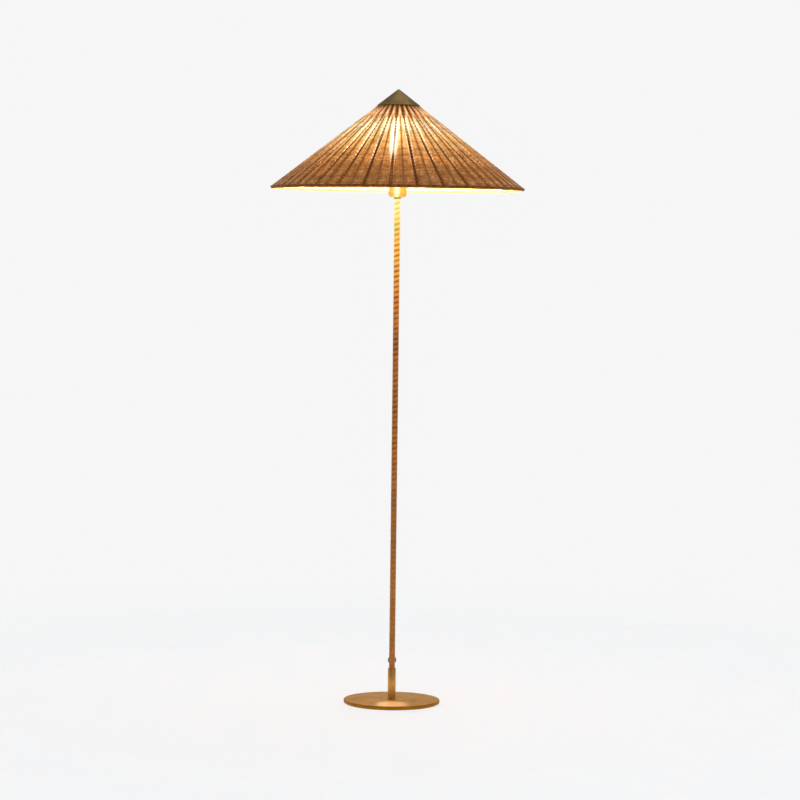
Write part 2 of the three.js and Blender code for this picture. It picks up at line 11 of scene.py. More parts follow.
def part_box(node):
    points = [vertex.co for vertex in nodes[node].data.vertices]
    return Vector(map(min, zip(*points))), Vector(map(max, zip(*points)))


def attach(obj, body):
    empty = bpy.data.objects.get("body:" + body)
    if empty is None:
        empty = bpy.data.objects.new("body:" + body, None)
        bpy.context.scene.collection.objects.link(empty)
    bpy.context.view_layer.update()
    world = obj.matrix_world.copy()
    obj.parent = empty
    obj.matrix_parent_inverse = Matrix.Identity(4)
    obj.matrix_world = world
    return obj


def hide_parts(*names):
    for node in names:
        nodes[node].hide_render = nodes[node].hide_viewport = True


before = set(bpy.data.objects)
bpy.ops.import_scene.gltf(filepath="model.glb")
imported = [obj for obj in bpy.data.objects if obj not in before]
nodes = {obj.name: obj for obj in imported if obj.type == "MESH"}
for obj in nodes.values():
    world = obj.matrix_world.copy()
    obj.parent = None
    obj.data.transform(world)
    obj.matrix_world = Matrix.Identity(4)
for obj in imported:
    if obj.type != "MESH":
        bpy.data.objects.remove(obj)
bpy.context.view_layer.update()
MM = 0.001
TURN = 2 * math.pi
UP = (0, 0, 1)

# Sizes in millimetres, as the CAD has them
SLOPE = math.radians(37.6)
COS, SIN = math.cos(SLOPE), math.sin(SLOPE)
TIP = 1500.0
CAP_LIFT = 4.8
TIP_DROP = CAP_LIFT / COS
CAP_RADIUS = 52.0
STUD_END = TIP - 62.0
RIB_TURN = math.radians(2.8)
RIBS = 60
TOP_OPENING = 48.0
WEAVE_START = TOP_OPENING / COS
GAP = 0.3  # between pieces that hold each other
SHADE_RADIUS = 310.0
HOOP_DEPTH = 8.0
HOOP_WIDTH = 4.5
HOOP_END = (SHADE_RADIUS - HOOP_DEPTH / 2 * SIN) / COS
WEAVE_END = HOOP_END - HOOP_WIDTH - GAP
WIRE = 3.2
WIRE_DROP = 5.4  # from the weave's middle to the wire's
CARRIER_RADIUS = 205.0
CARRIER = (CARRIER_RADIUS + WIRE_DROP * SIN) / COS
SHEET = 1.5  # thickness of the bridge and of the spider's ring


def slope_point(along, lift):
    """Radius and height of a point on the shade, from its way down the slope and its lift."""
    return along * COS + lift * SIN, TIP - TIP_DROP + lift * COS - along * SIN


def round_axis(radius, angle, height):
    """Points round the axis. Angles count from the front towards the right."""
    radius, angle, height = np.broadcast_arrays(radius, angle, height)
    return np.stack([radius * np.sin(angle), -radius * np.cos(angle), height], -1)


def around(count):
    """Angles of a whole turn."""
    return np.linspace(0, TURN, count, endpoint=False)


def off_slope(angle):
    """The direction straight off the shade's slope."""
    return round_axis(SIN, angle, COS)


def low_z(node):
    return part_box(node)[0].z / MM


def high_z(node):
    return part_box(node)[1].z / MM


def side_x(node):
    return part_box(node)[1].x / MM


def added(thing):
    """Puts a new object into the scene."""
    bpy.context.scene.collection.objects.link(thing)
    return thing


# Meshes

def mesh_object(name, points, faces, sharp=None, uvs=None, strand=None):
    """An object from points in millimetres. uvs holds a pair for each point, and strand a tone."""
    mesh = bpy.data.meshes.new(name)
    mesh.from_pydata(np.asarray(points, dtype=float) * MM, [], faces)
    mesh.shade_smooth()
    if sharp is not None:
        mesh.set_sharp_from_angle(angle=math.radians(sharp))
    if uvs is not None:
        corner = np.empty(len(mesh.loops), dtype=np.int32)
        mesh.loops.foreach_get("vertex_index", corner)
        mesh.uv_layers.new(name="grain").data.foreach_set("uv", uvs[corner].ravel())
    if strand is not None:
        mesh.attributes.new("strand", "FLOAT", "POINT").data.foreach_set("value", strand)
    return added(bpy.data.objects.new(name, mesh))


def grid_faces(rows, columns, first=0, close_rows=False):
    """Quads between rows of points. Each row is a loop with the same number of columns."""
    r, c = np.meshgrid(np.arange(rows if close_rows else rows - 1), np.arange(columns), indexing="ij")
    r2, c2 = (r + 1) % rows, (c + 1) % columns
    quads = np.stack([r * columns + c, r2 * columns + c, r2 * columns + c2, r * columns + c2], -1)
    return (quads.reshape(-1, 4) + first).tolist()


def tube_faces(count, corners, first=0, closed=False):
    """The faces along a tube, and over its two ends unless it is closed."""
    faces = grid_faces(count, corners, first, close_rows=closed)
    if not closed:
        last = first + (count - 1) * corners
        faces.append(list(range(first, first + corners)))
        faces.append(list(range(last, last + corners))[::-1])
    return faces


def lathe(name, outline, sides=96, sharp=40):
    """A piece turned about Z. The outline of (radius, height) is a loop, or runs from axis to axis."""
    outline = np.array(outline, dtype=float)
    on_axis = outline[0][0] == 0 and outline[-1][0] == 0
    ring = outline[1:-1] if on_axis else outline
    points = round_axis(ring[:, :1], around(sides), ring[:, 1:]).reshape(-1, 3)
    faces = [face[::-1] for face in grid_faces(len(ring), sides, close_rows=not on_axis)]
    if on_axis:
        low, high = len(points), len(points) + 1
        points = np.vstack([points, [[0, 0, outline[0][1]], [0, 0, outline[-1][1]]]])
        last = (len(ring) - 1) * sides
        for k in range(sides):
            l = (k + 1) % sides
            faces += [[low, l, k], [high, last + k, last + l]]
    return mesh_object(name, points, faces, sharp)


def softened(outline, size, steps=3):
    """The outline with each corner cut round. size is the length taken off each side of a corner."""
    points = [Vector(p) for p in outline]
    result = []
    for i, here in enumerate(points):
        before, after = points[i - 1], points[(i + 1) % len(points)]
        a = min(size, (before - here).length * 0.45)
        b = min(size, (after - here).length * 0.45)
        start = here + (before - here).normalized() * a
        end = here + (after - here).normalized() * b
        for k in range(steps + 1):
            t = k / steps
            result.append(tuple((1 - t) ** 2 * start + 2 * t * (1 - t) * here + t * t * end))
    return result


def flat_section(width, corner):
    """The section of a bar cut from sheet."""
    x, y = width / 2, SHEET / 2
    return softened([(x, y), (-x, y), (-x, -y), (x, -y)], corner, 2)


def oval(width, depth, sides):
    return [(width / 2 * math.cos(TURN * k / sides), depth / 2 * math.sin(TURN * k / sides))
            for k in range(sides)]


GRAIN_SPREAD = 6.0  # how far the grain runs across any tube's section


def sweep(path, section, closed, ups, first=0):
    """Points, faces and grain coordinates of a tube along a path.
    section is a loop of (across, up) pairs, or one loop for each point. ups is its upward direction."""
    path = np.asarray(path, dtype=float)
    count = len(path)
    if closed:
        ahead = np.roll(path, -1, 0) - np.roll(path, 1, 0)
    else:
        ahead = np.gradient(path, axis=0)
    ahead /= np.linalg.norm(ahead, axis=1)[:, None]
    across = np.cross(ahead, np.broadcast_to(ups, (count, 3)))
    across /= np.linalg.norm(across, axis=1)[:, None]
    up = np.cross(across, ahead)
    section = np.asarray(section, dtype=float)
    if section.ndim == 2:
        section = np.broadcast_to(section, (count, *section.shape))
    points = path[:, None, :] + section[..., :1] * across[:, None, :] + section[..., 1:] * up[:, None, :]
    corners = section.shape[1]
    steps = np.linalg.norm(np.diff(path, axis=0), axis=1)
    uvs = np.empty((count, corners, 2))
    uvs[..., 0] = np.concatenate([[0], np.cumsum(steps)])[:, None] * MM
    uvs[..., 1] = np.abs(np.linspace(-1, 1, corners, endpoint=False)) * GRAIN_SPREAD * MM
    return points.reshape(-1, 3), tube_faces(count, corners, first, closed), uvs.reshape(-1, 2)


class Bundle:
    """Collects many tubes into one mesh."""

    def __init__(self):
        self.points, self.faces, self.uvs, self.strands = [], [], [], []
        self.count = 0

    def add(self, path, section, closed, ups, strand=0.5):
        points, faces, uvs = sweep(path, section, closed, ups, self.count)
        self.points.append(points)
        self.faces.extend(faces)
        self.uvs.append(uvs)
        self.strands.append(np.full(len(points), strand))
        self.count += len(points)

    def piece(self, name, sharp=None):
        return mesh_object(name, np.vstack(self.points), self.faces, sharp,
                           np.vstack(self.uvs), np.concatenate(self.strands))


# Materials

BLACK = (0.0, 0.0, 0.0)
WHITE = (1.0, 1.0, 1.0)


class Nodes:
    """Short calls for building the nodes of a new material or world."""

    def __init__(self, owner):
        owner.use_nodes = True
        self.owner = owner
        self.tree = owner.node_tree
        self.shader = self.tree.nodes.get("Principled BSDF")

    def new(self, kind, *values, **settings):
        """A node with its settings, and values or sockets for its first inputs."""
        node = self.tree.nodes.new(kind)
        for key, value in settings.items():
            setattr(node, key, value)
        for socket, value in zip(node.inputs, values):
            self.put(socket, value)
        return node

    def link(self, source, target):
        self.tree.links.new(source, target)

    def put(self, target, value):
        """Gives a socket a number or a colour, or links another socket to it."""
        if isinstance(value, (int, float)):
            target.default_value = value
        elif isinstance(value, tuple):
            target.default_value = (*value, 1)
        else:
            self.link(value, target)

    def fill(self, node, **values):
        for key, value in values.items():
            self.put(node.inputs[key.replace("_", " ")], value)

    def set(self, **values):
        self.fill(self.shader, **values)

    def math(self, operation, *values):
        return self.new("ShaderNodeMath", *values, operation=operation).outputs[0]

    def times(self, product, *factors):
        for factor in factors:
            product = self.math("MULTIPLY", product, factor)
        return product

    def blend(self, first, second, factor):
        """From one value to another. Each may be a number or a socket."""
        back = self.math("SUBTRACT", 1.0, factor)
        return self.math("ADD", self.times(first, back), self.times(second, factor))

    def place(self, kind="Object"):
        return self.new("ShaderNodeTexCoord").outputs[kind]

    def axes(self, source):
        return self.new("ShaderNodeSeparateXYZ", source).outputs

    def vector(self, *values):
        return self.new("ShaderNodeCombineXYZ", *values).outputs[0]

    def stretched(self, source, scale, shift):
        """source times a scale for each axis, moved by the same socket along each axis."""
        node = self.new("ShaderNodeMapping")
        node.inputs["Scale"].default_value = scale
        self.fill(node, Vector=source, Location=self.vector(shift, shift, shift))
        return node.outputs[0]

    def noise(self, source, scale, detail=3.0, roughness=0.55, distortion=0.0):
        node = self.new("ShaderNodeTexNoise")
        self.fill(node, Vector=source, Scale=scale, Detail=detail, Roughness=roughness,
                  Distortion=distortion)
        return node.outputs["Fac"]

    def ramp(self, factor, stops):
        node = self.new("ShaderNodeValToRGB", factor)
        ramp = node.color_ramp
        while len(ramp.elements) < len(stops):
            ramp.elements.new(0.5)
        for element, (position, color) in zip(ramp.elements, stops):
            element.position = position
            element.color = (*color, 1)
        return node.outputs["Color"]

    def span(self, factor, low, high, from_low=0.3, from_high=0.7, **settings):
        """From low to high, while the factor goes from from_low to from_high."""
        node = self.new("ShaderNodeMapRange", **settings)
        self.fill(node, Value=factor, From_Min=from_low, From_Max=from_high, To_Min=low, To_Max=high)
        return node.outputs[0]

    def rise(self, factor, start, end):
        return self.span(factor, 0.0, 1.0, start, end)

    def fall(self, factor, start, end):
        return self.span(factor, 1.0, 0.0, start, end)

    def scaled(self, color, amount):
        node = self.new("ShaderNodeVectorMath", color, operation="SCALE")
        self.fill(node, Scale=amount)
        return node.outputs[0]

    def mixed(self, first, second, factor, blend="MIX"):
        node = self.new("ShaderNodeMix", data_type="RGBA", blend_type=blend)
        self.put(node.inputs[0], factor)
        for socket, value in zip([s for s in node.inputs if s.type == "RGBA"], (first, second)):
            self.put(socket, value)
        return [s for s in node.outputs if s.type == "RGBA"][0]

    def toned(self, color, tone, factor):
        """The colour times a tone, as far as the factor says."""
        return self.mixed(color, self.mixed(color, tone, 1.0, "MULTIPLY"), factor)

    def bump(self, height, strength, distance, after=None):
        node = self.new("ShaderNodeBump")
        self.fill(node, Strength=strength, Distance=distance, Height=height)
        if after is not None:
            self.link(after, node.inputs["Normal"])
        return node.outputs["Normal"]

    def glow(self, light, strength=1.0):
        self.set(Emission_Color=light, Emission_Strength=strength)


def new_material(name):
    return Nodes(bpy.data.materials.new(name))


def rgb(red, green, blue):
    """A colour in the shader's own units from the screen's 0 to 255."""
    values = []
    for value in (red, green, blue):
        value /= 255
        values.append(value / 12.92 if value <= 0.04045 else ((value + 0.055) / 1.055) ** 2.4)
    return tuple(values)


def shares(*stops):
    """Ramp stops for a plain number."""
    return [(position, (value,) * 3) for position, value in stops]


# The lamp's light on the shade. Radii and distances are in metres.

COURSES = 26
WHOLE_WAVES = 100  # added so that the count of waves round the shade stays positive
NARROWEST = 0.026  # least distance round the shade that the light's pattern takes between covered ribs
TOP_ENDS = (0.078, 0.092)  # radii between which the narrow top goes over into the rest
RIB_REACH = 0.01
WIDE_REACH = 0.012
SIDE_LIGHT = (0.3, 0.45)  # the light left at the sides, where the lower shade starts and further down
TOP_SIDE_LIGHT = 1.15
LANES = (6.2, 6.2, 16.0)  # how fast the light's slow changes go round and down the shade
GLOW_STRENGTH = 1.05
BEAM_GAIN = 0.9
SLIT_BEAM_GAIN = 0.8
RIB_BEAM_GAIN = 0.85
# beams: sideways place, radius, reach along the radius, width
BODY_BEAM = (0.0, 0.138, 0.055, 0.026)
SLIT_BEAM = (0.0, 0.122, 0.045, 0.03)
RIB_BEAM = (-0.0125, 0.175, 0.03, 0.006)
WIDE_BEAM = (-0.0135, 0.165, 0.045, 0.0125)
WIDE_COLOR = (1.5, 1.4, 1.05)
RIB_BEAM_COLOR = (1.0, 0.8, 0.62)
INNER_LIGHT = (0.62, 0.52, 0.2)
RIM_LIGHT = (0.85, 0.8, 0.36)
# share of the way from the top opening to the rim, and the light's colour there
GLOW_STOPS = [
    (0.03, (0.03, 0.012, 0.004)), (0.1, (0.44, 0.26, 0.11)), (0.15, (0.56, 0.38, 0.16)),
    (0.2, (0.62, 0.49, 0.22)), (0.268, (0.64, 0.58, 0.33)), (0.34, (0.58, 0.45, 0.21)),
    (0.41, (0.62, 0.42, 0.15)), (0.483, (0.6, 0.35, 0.115)), (0.554, (0.45, 0.23, 0.07)),
    (0.626, (0.33, 0.135, 0.035)), (0.698, (0.22, 0.076, 0.016)), (0.78, (0.13, 0.038, 0.005)),
    (0.9, (0.09, 0.024, 0.003)), (0.97, (0.02, 0.005, 0.0)),
]
SLIT_STOPS = [
    (0.075, (0.3, 0.2, 0.1)), (0.17, (0.8, 0.6, 0.4)), (0.25, (1.0, 0.85, 0.6)),
    (0.32, (1.0, 0.85, 0.58)), (0.39, (0.95, 0.75, 0.45)), (0.46, (0.85, 0.62, 0.36)),
    (0.53, (0.72, 0.5, 0.28)), (0.6, (0.6, 0.38, 0.2)), (0.68, (0.42, 0.24, 0.12)),
    (0.76, (0.2, 0.1, 0.05)), (0.88, BLACK),
]
CREST_STOPS = [
    (0.03, (0.1, 0.06, 0.03)), (0.06, (0.3, 0.24, 0.15)), (0.09, (0.5, 0.46, 0.34)),
    (0.14, (0.45, 0.44, 0.36)),
]
RIB_STOPS = [
    (0.07, (0.08, 0.02, 0.0)), (0.125, (0.22, 0.07, 0.01)), (0.175, (0.28, 0.11, 0.03)),
    (0.24, (0.64, 0.48, 0.24)), (0.31, (0.52, 0.33, 0.12)), (0.385, (0.36, 0.18, 0.05)),
    (0.46, (0.14, 0.04, 0.005)), (0.6, (0.02, 0.005, 0.0)), (0.7, BLACK),
]
# from a covered rib, at 0, to the next bare one, at 0.5, and the painted shade by the ribs and painted
# highlight on the crest there
ARCH_PAINTED_LIGHT = [
    (0.0, (0.46, 0.34, 0.2)), (0.08, (0.72, 0.64, 0.52)), (0.18, (1.34, 1.38, 1.46)),
    (0.31, (1.34, 1.38, 1.46)), (0.4, (0.76, 0.66, 0.52)), (0.5, (0.38, 0.26, 0.14)),
]
# share of the reach from a rib's middle, and the share of the light that passes there
COVERED_LIGHT = shares((0.08, 0.45), (0.3, 0.95), (0.36, 1.15), (0.6, 0.95))
BARE_LIGHT = shares((0.26, 0.03), (0.42, 0.7), (0.58, 1.12), (0.8, 0.95))
WIDE_LIGHT = shares((0.17, 0.0), (0.26, 1.0), (0.62, 0.9), (0.95, 0.0))
SLIT_LIGHT = shares((0.26, 0.0), (0.34, 1.0), (0.48, 1.0), (0.62, 0.0))


def shade_places(m):
    """Where a point lies on the shade. off runs from 0 at a covered rib to 0.5 at a bare one, and
    covered and bare are the distances from either kind. bead is 0 between courses of canes and 1 in
    a course's middle, sides is the light left on that side of the shade, and outward and facing say
    how far the point's normal leans off the axis and off the slope."""
    x, y, _ = m.axes(m.place())
    radius = m.math("SQRT", m.math("ADD", m.times(x, x), m.times(y, y)))
    angle = m.math("ARCTAN2", x, m.times(y, -1.0))
    waves = m.times(m.math("SUBTRACT", angle, RIB_TURN), RIBS / 2 / TURN)
    whole = m.math("FRACT", m.math("ADD", waves, WHOLE_WAVES + 0.5))
    off = m.math("ABSOLUTE", m.math("SUBTRACT", whole, 0.5))
    period = m.math("MAXIMUM", m.times(radius, 2 * TURN / RIBS), NARROWEST)
    courses = m.times(m.math("SUBTRACT", radius, TOP_OPENING * MM),
                      COURSES / (WEAVE_END - WEAVE_START) / COS / MM)
    side, front = m.math("DIVIDE", x, radius), m.math("DIVIDE", y, radius)
    turned = m.times(side, side)
    lower = m.times(m.blend(1.0, m.span(radius, *SIDE_LIGHT, 0.105, 0.15), turned),
                    m.span(side, 1.06, 0.86, -1.0, 1.0))
    upper = m.span(turned, 1.0, TOP_SIDE_LIGHT, 0.0, 1.0)
    lane = m.vector(*map(m.times, (side, front, radius), LANES))
    normal = m.axes(m.place("Normal"))
    outward = m.math("ADD", m.times(normal[0], side), m.times(normal[1], front))
    facing = m.math("ADD", m.times(outward, SIN), m.times(normal[2], COS))
    return SimpleNamespace(
        x=x, y=y, radius=radius, off=off, turned=turned, outward=outward, facing=facing,
        covered=m.times(off, period),
        bare=m.times(m.math("SUBTRACT", 0.5, off), period),
        bead=m.rise(m.math("COSINE", m.times(courses, TURN)), 1.0, -1.0),
        sides=m.blend(upper, lower, m.rise(radius, 0.07, 0.096)),
        lane=m.noise(lane, 1.0, 2.0, 0.55),
        cloud=m.noise(lane, 5.0, 2.0, 0.6),
        down=m.rise(radius, 0.045, 0.31),
        inner=m.fall(facing, -0.45, -0.15))


def beam(m, at, middle, radius, reach, width):
    """A brighter patch at the front, where the bulb itself stands behind the canes."""
    over_x = m.math("POWER", m.math("DIVIDE", m.math("SUBTRACT", at.x, middle), width), 2.0)
    over_r = m.math("POWER", m.math("DIVIDE", m.math("SUBTRACT", at.radius, radius), reach), 4.0)
    bright = m.math("EXPONENT", m.times(m.math("ADD", over_x, over_r), -1.0))
    return m.times(bright, m.math("LESS_THAN", at.y, 0.0))


def lamplight(m, strand):
    """The bulb's light as it shows through the weave, blocked by the ribs, brighter in the gaps beside
    them. Gives back the places, the share of the narrow top, and the light that bare ribs leave there."""
    at = shade_places(m)
    top = m.fall(at.radius, *TOP_ENDS)
    below = m.math("SUBTRACT", 1.0, top)
    covered = m.ramp(m.rise(at.covered, 0.0, RIB_REACH), COVERED_LIGHT)
    from_bare = m.rise(at.bare, 0.0, RIB_REACH)
    spoke = m.span(at.off, 1.0, 0.1, 0.18, 0.32)
    patches = m.span(m.noise(m.place(), 190.0, 2.0, 0.6), 0.7, 1.3, 0.35, 0.68)
    own = m.times(m.span(strand, 0.85, 1.15, 0.0, 1.0), at.sides)
    body = m.times(m.blend(covered, 1.0, top), m.blend(m.ramp(from_bare, BARE_LIGHT), spoke, top),
                   patches, own,
                   m.span(at.lane, 0.75, 1.22, 0.35, 0.65),
                   m.span(at.cloud, 0.8, 1.15, 0.35, 0.65),
                   m.math("ADD", 1.0, m.times(beam(m, at, *BODY_BEAM), BEAM_GAIN)))
    beads = m.span(at.bead, 0.25, 1.6, 0.15, 0.85)
    slit = m.times(m.ramp(from_bare, SLIT_LIGHT), m.blend(1.0, beads, m.rise(at.radius, 0.145, 0.2)),
                   m.span(patches, 0.55, 1.35, 0.7, 1.3), own, below,
                   m.span(at.lane, 0.4, 1.5, 0.36, 0.62),
                   m.math("ADD", 1.0, m.times(beam(m, at, *SLIT_BEAM), SLIT_BEAM_GAIN)))
    wide = m.times(m.ramp(m.rise(at.bare, 0.0, WIDE_REACH), WIDE_LIGHT), beam(m, at, *WIDE_BEAM))
    crest = m.times(m.fall(at.off, 0.05, 0.15), top, own)
    light = m.scaled(m.ramp(at.down, GLOW_STOPS), body)
    light = m.toned(light, (0.76, 0.46, 0.18), m.span(at.covered, 0.9, 0.0, 0.001, 0.0036))
    # painted shade by the ribs and painted highlight on the crests, stronger towards the sides
    light = m.toned(light, m.ramp(at.off, ARCH_PAINTED_LIGHT), m.span(at.turned, 0.0, 0.9, 0.0, 0.7))
    for more in (m.scaled(m.ramp(at.down, SLIT_STOPS), slit),
                 m.scaled(m.ramp(at.down, CREST_STOPS), crest),
                 m.mixed(BLACK, WIDE_COLOR, wide)):
        light = m.mixed(light, more, 1.0, "ADD")
    m.glow(m.mixed(light, INNER_LIGHT, at.inner), GLOW_STRENGTH)
    return at, top, spoke


def rib_light(m):
    """The little of the bulb's light that comes through the ribs."""
    at = shade_places(m)
    amount = m.times(m.span(at.bead, 0.3, 1.7, 0.0, 1.0), at.sides)
    light = m.mixed(m.scaled(m.ramp(at.down, RIB_STOPS), amount), RIB_BEAM_COLOR,
                    m.times(beam(m, at, *RIB_BEAM), RIB_BEAM_GAIN))
    m.glow(m.mixed(light, INNER_LIGHT, at.inner))
    return at


# Cane

STRIP_WIDTH = 12.45
STRIP_PITCH = 12.7
# share of the way up across a strip, and the painted shade at its edges and painted highlight on its crown,
# or the lamp's light there
STRIP_SHADE_AND_HIGHLIGHT = [
    (0.0, (0.3, 0.2, 0.1)), (0.13, (0.5, 0.4, 0.28)), (0.3, (0.95, 0.93, 0.9)),
    (0.55, (1.18, 1.18, 1.15)), (0.84, (0.95, 0.93, 0.9)), (0.95, (0.5, 0.4, 0.28)), (1.0, (0.3, 0.2, 0.1)),
]
BAND_SHADE_AND_HIGHLIGHT = [
    (0.0, (0.38, 0.26, 0.15)), (0.16, (0.5, 0.38, 0.24)), (0.34, (0.95, 0.92, 0.88)),
    (0.55, (1.3, 1.34, 1.35)), (0.72, (1.05, 1.03, 1.0)), (0.9, (0.5, 0.38, 0.24)), (1.0, (0.38, 0.26, 0.15)),
]
GLOW_EDGES = [
    (0.0, (0.7, 0.2, 0.05)), (0.18, (0.75, 0.4, 0.2)), (0.34, (1.0, 0.95, 0.92)),
    (0.55, (1.2, 1.25, 1.2)), (0.74, (1.0, 0.95, 0.92)), (0.9, (0.75, 0.4, 0.2)), (1.0, (0.7, 0.2, 0.05)),
]
POLE_GLOW_HEIGHTS = (0.9, 1.24)
# share of the way up between those heights, and the light's colour there
POLE_GLOW = [
    (0.0, (0.02, 0.016, 0.001)), (0.1, (0.07, 0.06, 0.008)), (0.28, (0.12, 0.1, 0.014)),
    (0.45, (0.28, 0.27, 0.055)), (0.62, (0.33, 0.37, 0.075)), (0.8, (0.26, 0.5, 0.11)),
    (0.88, (0.34, 0.7, 0.25)), (0.97, (0.42, 0.76, 0.35)),
]
WEAVE_TONES = (rgb(168, 106, 44), rgb(202, 136, 62), rgb(232, 172, 92))
LOW_TONE = rgb(162, 108, 58)
RIM_TONES = (rgb(132, 78, 26), rgb(150, 92, 34), rgb(166, 106, 44))
RIB_TONES = (rgb(146, 84, 24), rgb(160, 96, 32), rgb(174, 108, 42))
WRAP_TONES = (rgb(184, 112, 46), rgb(198, 124, 52), rgb(210, 138, 62))
SHADE_GLOSS = 0.12
RIB_GLOSS = 0.1


def lit_weave(m, color, grain):
    """The weave, with the bulb's light behind it, painted shade along the ribs and at the narrow top, painted
    highlights in pale patches and by the rim, and cloudy in places.
    """
    at, top, spoke = lamplight(m, grain.strand)
    m.set(Specular_IOR_Level=SHADE_GLOSS)
    # painted shade in the fold beside each bare rib
    color = m.toned(color, (0.52, 0.4, 0.2), m.fall(at.bare, 0.003, 0.005))
    # painted shadow of each covered rib behind the canes
    color = m.toned(color, (0.68, 0.54, 0.34), m.fall(at.covered, 0.001, 0.003))
    # pale cream patches towards the rim: painted highlights
    pale = m.times(m.rise(at.cloud, 0.54, 0.66), m.span(at.radius, 0.3, 1.0, 0.18, 0.26))
    color = m.toned(color, (1.4, 1.7, 2.6), pale)
    color = m.toned(color, (0.66, 0.56, 0.4), m.fall(at.cloud, 0.34, 0.46))
    # painted shade by the ribs and painted highlight on the crests, stronger towards the sides
    arch = m.mixed(WHITE, m.ramp(at.off, ARCH_PAINTED_LIGHT), m.span(at.turned, 0.35, 1.0, 0.0, 0.7))
    color = m.mixed(color, arch, 1.0, "MULTIPLY")
    color = m.mixed(color, LOW_TONE, m.span(at.radius, 0.0, 0.42, 0.22, 0.255))
    # a paler band just above the rim: painted light
    color = m.toned(color, (1.2, 1.3, 1.55), m.rise(at.radius, 0.272, 0.284))
    # painted shade beside the bare ribs at the narrow top
    return m.toned(color, (0.5, 0.3, 0.12), m.times(top, m.math("SUBTRACT", 1.0, spoke)))


def lit_ribs(m, color, grain):
    """The ribs, darker towards the top as painted shade where they stand unlit against the glowing weave,
    with painted shade between courses of canes, and paler in patches towards the rim.
    """
    height = m.axes(m.place())[2]
    # painted shade: the ribs darker towards the top, where they stand unlit against the glowing weave
    color = m.toned(color, (0.4, 0.26, 0.14), m.rise(height, 1.285, 1.345))
    m.set(Specular_IOR_Level=RIB_GLOSS)
    at = rib_light(m)
    # painted shade on the ribs between courses of canes
    color = m.toned(color, (0.45, 0.38, 0.3), m.math("SUBTRACT", 1.0, at.bead))
    paler = m.times(m.rise(at.radius, 0.18, 0.26), m.rise(at.lane, 0.38, 0.6))
    return m.toned(color, (1.35, 1.5, 1.9), paler)


def lit_rim(m, color, grain):
    """The hoop, lit on the side that faces the bulb."""
    at = shade_places(m)
    m.set(Specular_IOR_Level=SHADE_GLOSS)
    m.glow(m.mixed(BLACK, RIM_LIGHT, m.times(m.fall(at.outward, -0.4, -0.1), m.fall(at.facing, -0.2, 0.1))))
    return color


def lit_pole(m, color, grain):
    """The strips on the pole, with painted shade along their edges and painted highlights on their crowns, in
    the lamplight that washes them below the shade.
    """
    over = m.rise(m.axes(grain.place)[1], 0.0, STRIP_WIDTH * MM)
    height = m.axes(m.place())[2]
    # painted shade along the strips' edges and painted highlights on their crowns
    edges = m.mixed(m.ramp(over, STRIP_SHADE_AND_HIGHLIGHT), m.ramp(over, BAND_SHADE_AND_HIGHLIGHT), m.rise(height, 0.96, 1.06))
    edges = m.mixed(edges, WHITE, m.span(grain.patches, 0.0, 0.6, 0.45, 0.65))
    edges = m.mixed(edges, (0.88, 0.88, 0.8), m.span(height, 0.9, 0.0, 0.4, 0.72))
    light = m.ramp(m.rise(height, *POLE_GLOW_HEIGHTS), POLE_GLOW)
    m.glow(m.mixed(light, m.ramp(over, GLOW_EDGES), m.span(height, 1.0, 0.3, 1.1, 1.18), "MULTIPLY"))
    return m.mixed(color, edges, 1.0, "MULTIPLY")


def cane_material(name, tones, rough, lit, depth=0.00015, fibre=900, mottle_and_highlights=0.0):
    """Split or round cane: long fibres, short blotches, the paler of them painted highlights, and its own
    tone for each strand.
    lit adds the lamp's light and the painted light and shade on that kind of cane."""
    m = new_material(name)
    place = m.place("UV")
    strand = m.new("ShaderNodeAttribute", attribute_name="strand").outputs["Fac"]
    shift = m.times(strand, 17.0)
    fibres = m.noise(m.stretched(place, (22, fibre, 1), shift), 1.0, 4.0, 0.6)
    patches = m.noise(m.stretched(place, (9, 60, 1), shift), 1.0, 2.0)
    color = m.ramp(strand, list(zip((0.0, 0.5, 1.0), tones)))
    color = m.toned(color, (0.55, 0.42, 0.32), m.span(fibres, 0.0, 0.75, 0.45, 0.7))
    color = m.toned(color, (1.25, 1.22, 1.15), m.rise(patches, 0.4, 0.7))
    if mottle_and_highlights:
        blotches = m.noise(m.stretched(place, (130, 40, 1), shift), 1.0, 3.0, 0.65)
        color = m.toned(color, (0.5, 0.38, 0.2), m.span(blotches, mottle_and_highlights, 0.0, 0.36, 0.5))
        # paler blotches: painted highlights
        color = m.toned(color, (1.6, 1.95, 2.9), m.span(blotches, 0.0, mottle_and_highlights, 0.53, 0.64))
    color = lit(m, color, SimpleNamespace(place=place, strand=strand, patches=patches))
    m.set(Base_Color=color, Roughness=m.span(fibres, rough - 0.1, rough + 0.15),
          Normal=m.bump(fibres, 0.5, depth), IOR=1.45)
    return m.owner


# Metal, mouldings and glass

CUP_HALF = 0.022
# share of the way across the holder's cup, and the light that the inside of the shade throws on it
CUP_SHINE = [
    (0.0, (0.1, 0.06, 0.02)), (0.12, (0.4, 0.2, 0.06)), (0.28, (0.48, 0.32, 0.08)),
    (0.42, (0.8, 0.8, 0.45)), (0.5, (0.7, 0.65, 0.3)), (0.6, (0.45, 0.28, 0.06)),
    (0.85, (0.45, 0.2, 0.03)), (1.0, (0.1, 0.05, 0.01)),
]
BULB_STRENGTH = 2.5


